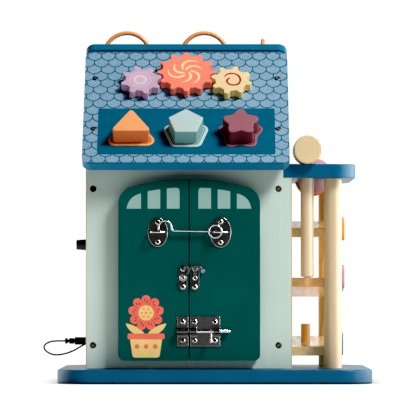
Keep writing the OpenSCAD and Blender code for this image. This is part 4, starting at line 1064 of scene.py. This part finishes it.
# the floor's glow is darkened by ambient occlusion close to the house: a painted contact shadow
painted_contact_shade = fs.t.nodes.new("ShaderNodeAmbientOcclusion")
painted_contact_shade.inputs["Distance"].default_value = 0.06
fs.set(Roughness=0.8, Emission_Color=painted_contact_shade.outputs["Color"], Emission_Strength=1.0, Specular_IOR_Level=0.1)
floor_mesh.materials.append(fs.mat)
floor.visible_diffuse = False

world = bpy.data.worlds.new("studio")
scene.world = world
world.use_nodes = True
wt = world.node_tree
wt.nodes.clear()
w_out = wt.nodes.new("ShaderNodeOutputWorld")
w_bg = wt.nodes.new("ShaderNodeBackground")
w_bg.inputs["Color"].default_value = (1, 1, 1, 1)
w_bg.inputs["Strength"].default_value = 1.05
wt.links.new(w_bg.outputs[0], w_out.inputs[0])
world.cycles_visibility.diffuse = False
world.cycles_visibility.glossy = False


def area(name, at, size, energy, target=(-0.02, -0.1, 0.2), gloss=True, diffuse=True):
    d = bpy.data.lights.new(name, "AREA")
    d.shape, d.size, d.size_y = "RECTANGLE", size[0], size[1]
    d.energy = energy
    o = bpy.data.objects.new(name, d)
    scene.collection.objects.link(o)
    o.location = Vector(at)
    o.rotation_mode = "QUATERNION"
    o.rotation_quaternion = (Vector(target) - Vector(at)).to_track_quat("-Z", "Y")
    o.visible_camera = False
    o.visible_glossy = gloss
    o.visible_diffuse = diffuse
    return o


aim = Vector((-0.02, -0.11, 0.17))
area("key", aim + Vector((0.537, -0.398, 0.744)) * 3.0, (0.80, 0.80), 113, aim)
# light that comes back up from the white floor round the house
area("bounce_front", (0.0, -0.5135, 0.002), (2.6, 0.713), 1.14 * math.pi * 2.6 * 0.713, (0.0, -0.5135, 1.0), gloss=False)
area("front_fill", (0.3, -2.6, 0.9), (4.0, 1.8), 0.36 * math.pi * 4.0 * 1.8, (0.0, -0.1, 0.2), gloss=False)
area("bounce_back", (0.0, 0.7135, 0.002), (2.6, 1.113), 1.1 * math.pi * 2.6 * 1.113, (0.0, 0.7135, 1.0), gloss=False)
area("bounce_left", (-0.75, 0.0, 0.002), (1.098, 0.312), 2.3 * math.pi * 1.098 * 0.312, (-0.75, 0.0, 1.0), gloss=False)
area("bounce_right", (0.75, 0.0, 0.002), (1.098, 0.312), 1.5 * math.pi * 1.098 * 0.312, (0.75, 0.0, 1.0), gloss=False)
# white reflectors: one beside the tower, one behind the house
area("side_fill", (1.3, 0.30, 0.35), (1.0, 1.0), 2.0 * math.pi * 1.0 * 1.0, (0.15, 0.1, 0.15), gloss=False)
area("side_glow", (1.3, -0.05, 0.5), (1.9, 1.1), 7.0 * math.pi * 1.9 * 1.1, (0.0, -0.05, 0.4), diffuse=False)
area("left_glow", (-1.25, 0.28, 0.4), (1.3, 0.9), 4.2 * math.pi * 1.3 * 0.9, (-0.2, -0.1, 0.2), diffuse=False)
area("back", (0.4, 2.6, 1.6), (2.4, 1.6), 10, gloss=False)
area("rear_glow", (0.0, 4.0, 0.9), (9.0, 1.8), 66, diffuse=False)
scene.view_settings.view_transform = "Standard"
scene.view_settings.look = "None"
scene.view_settings.exposure = 0.0
# a studio photograph's deep blacks: a toe below about a tenth of white
scene.view_settings.use_curve_mapping = True
tone_map = scene.view_settings.curve_mapping
tone_map.extend = "EXTRAPOLATED"
toe = tone_map.curves[3]
for x, y in ((0.015, 0.0006), (0.03, 0.006), (0.05, 0.022), (0.08, 0.055), (0.12, 0.1), (0.2, 0.19), (0.4, 0.4)):
    toe.points.new(x, y)
tone_map.update()
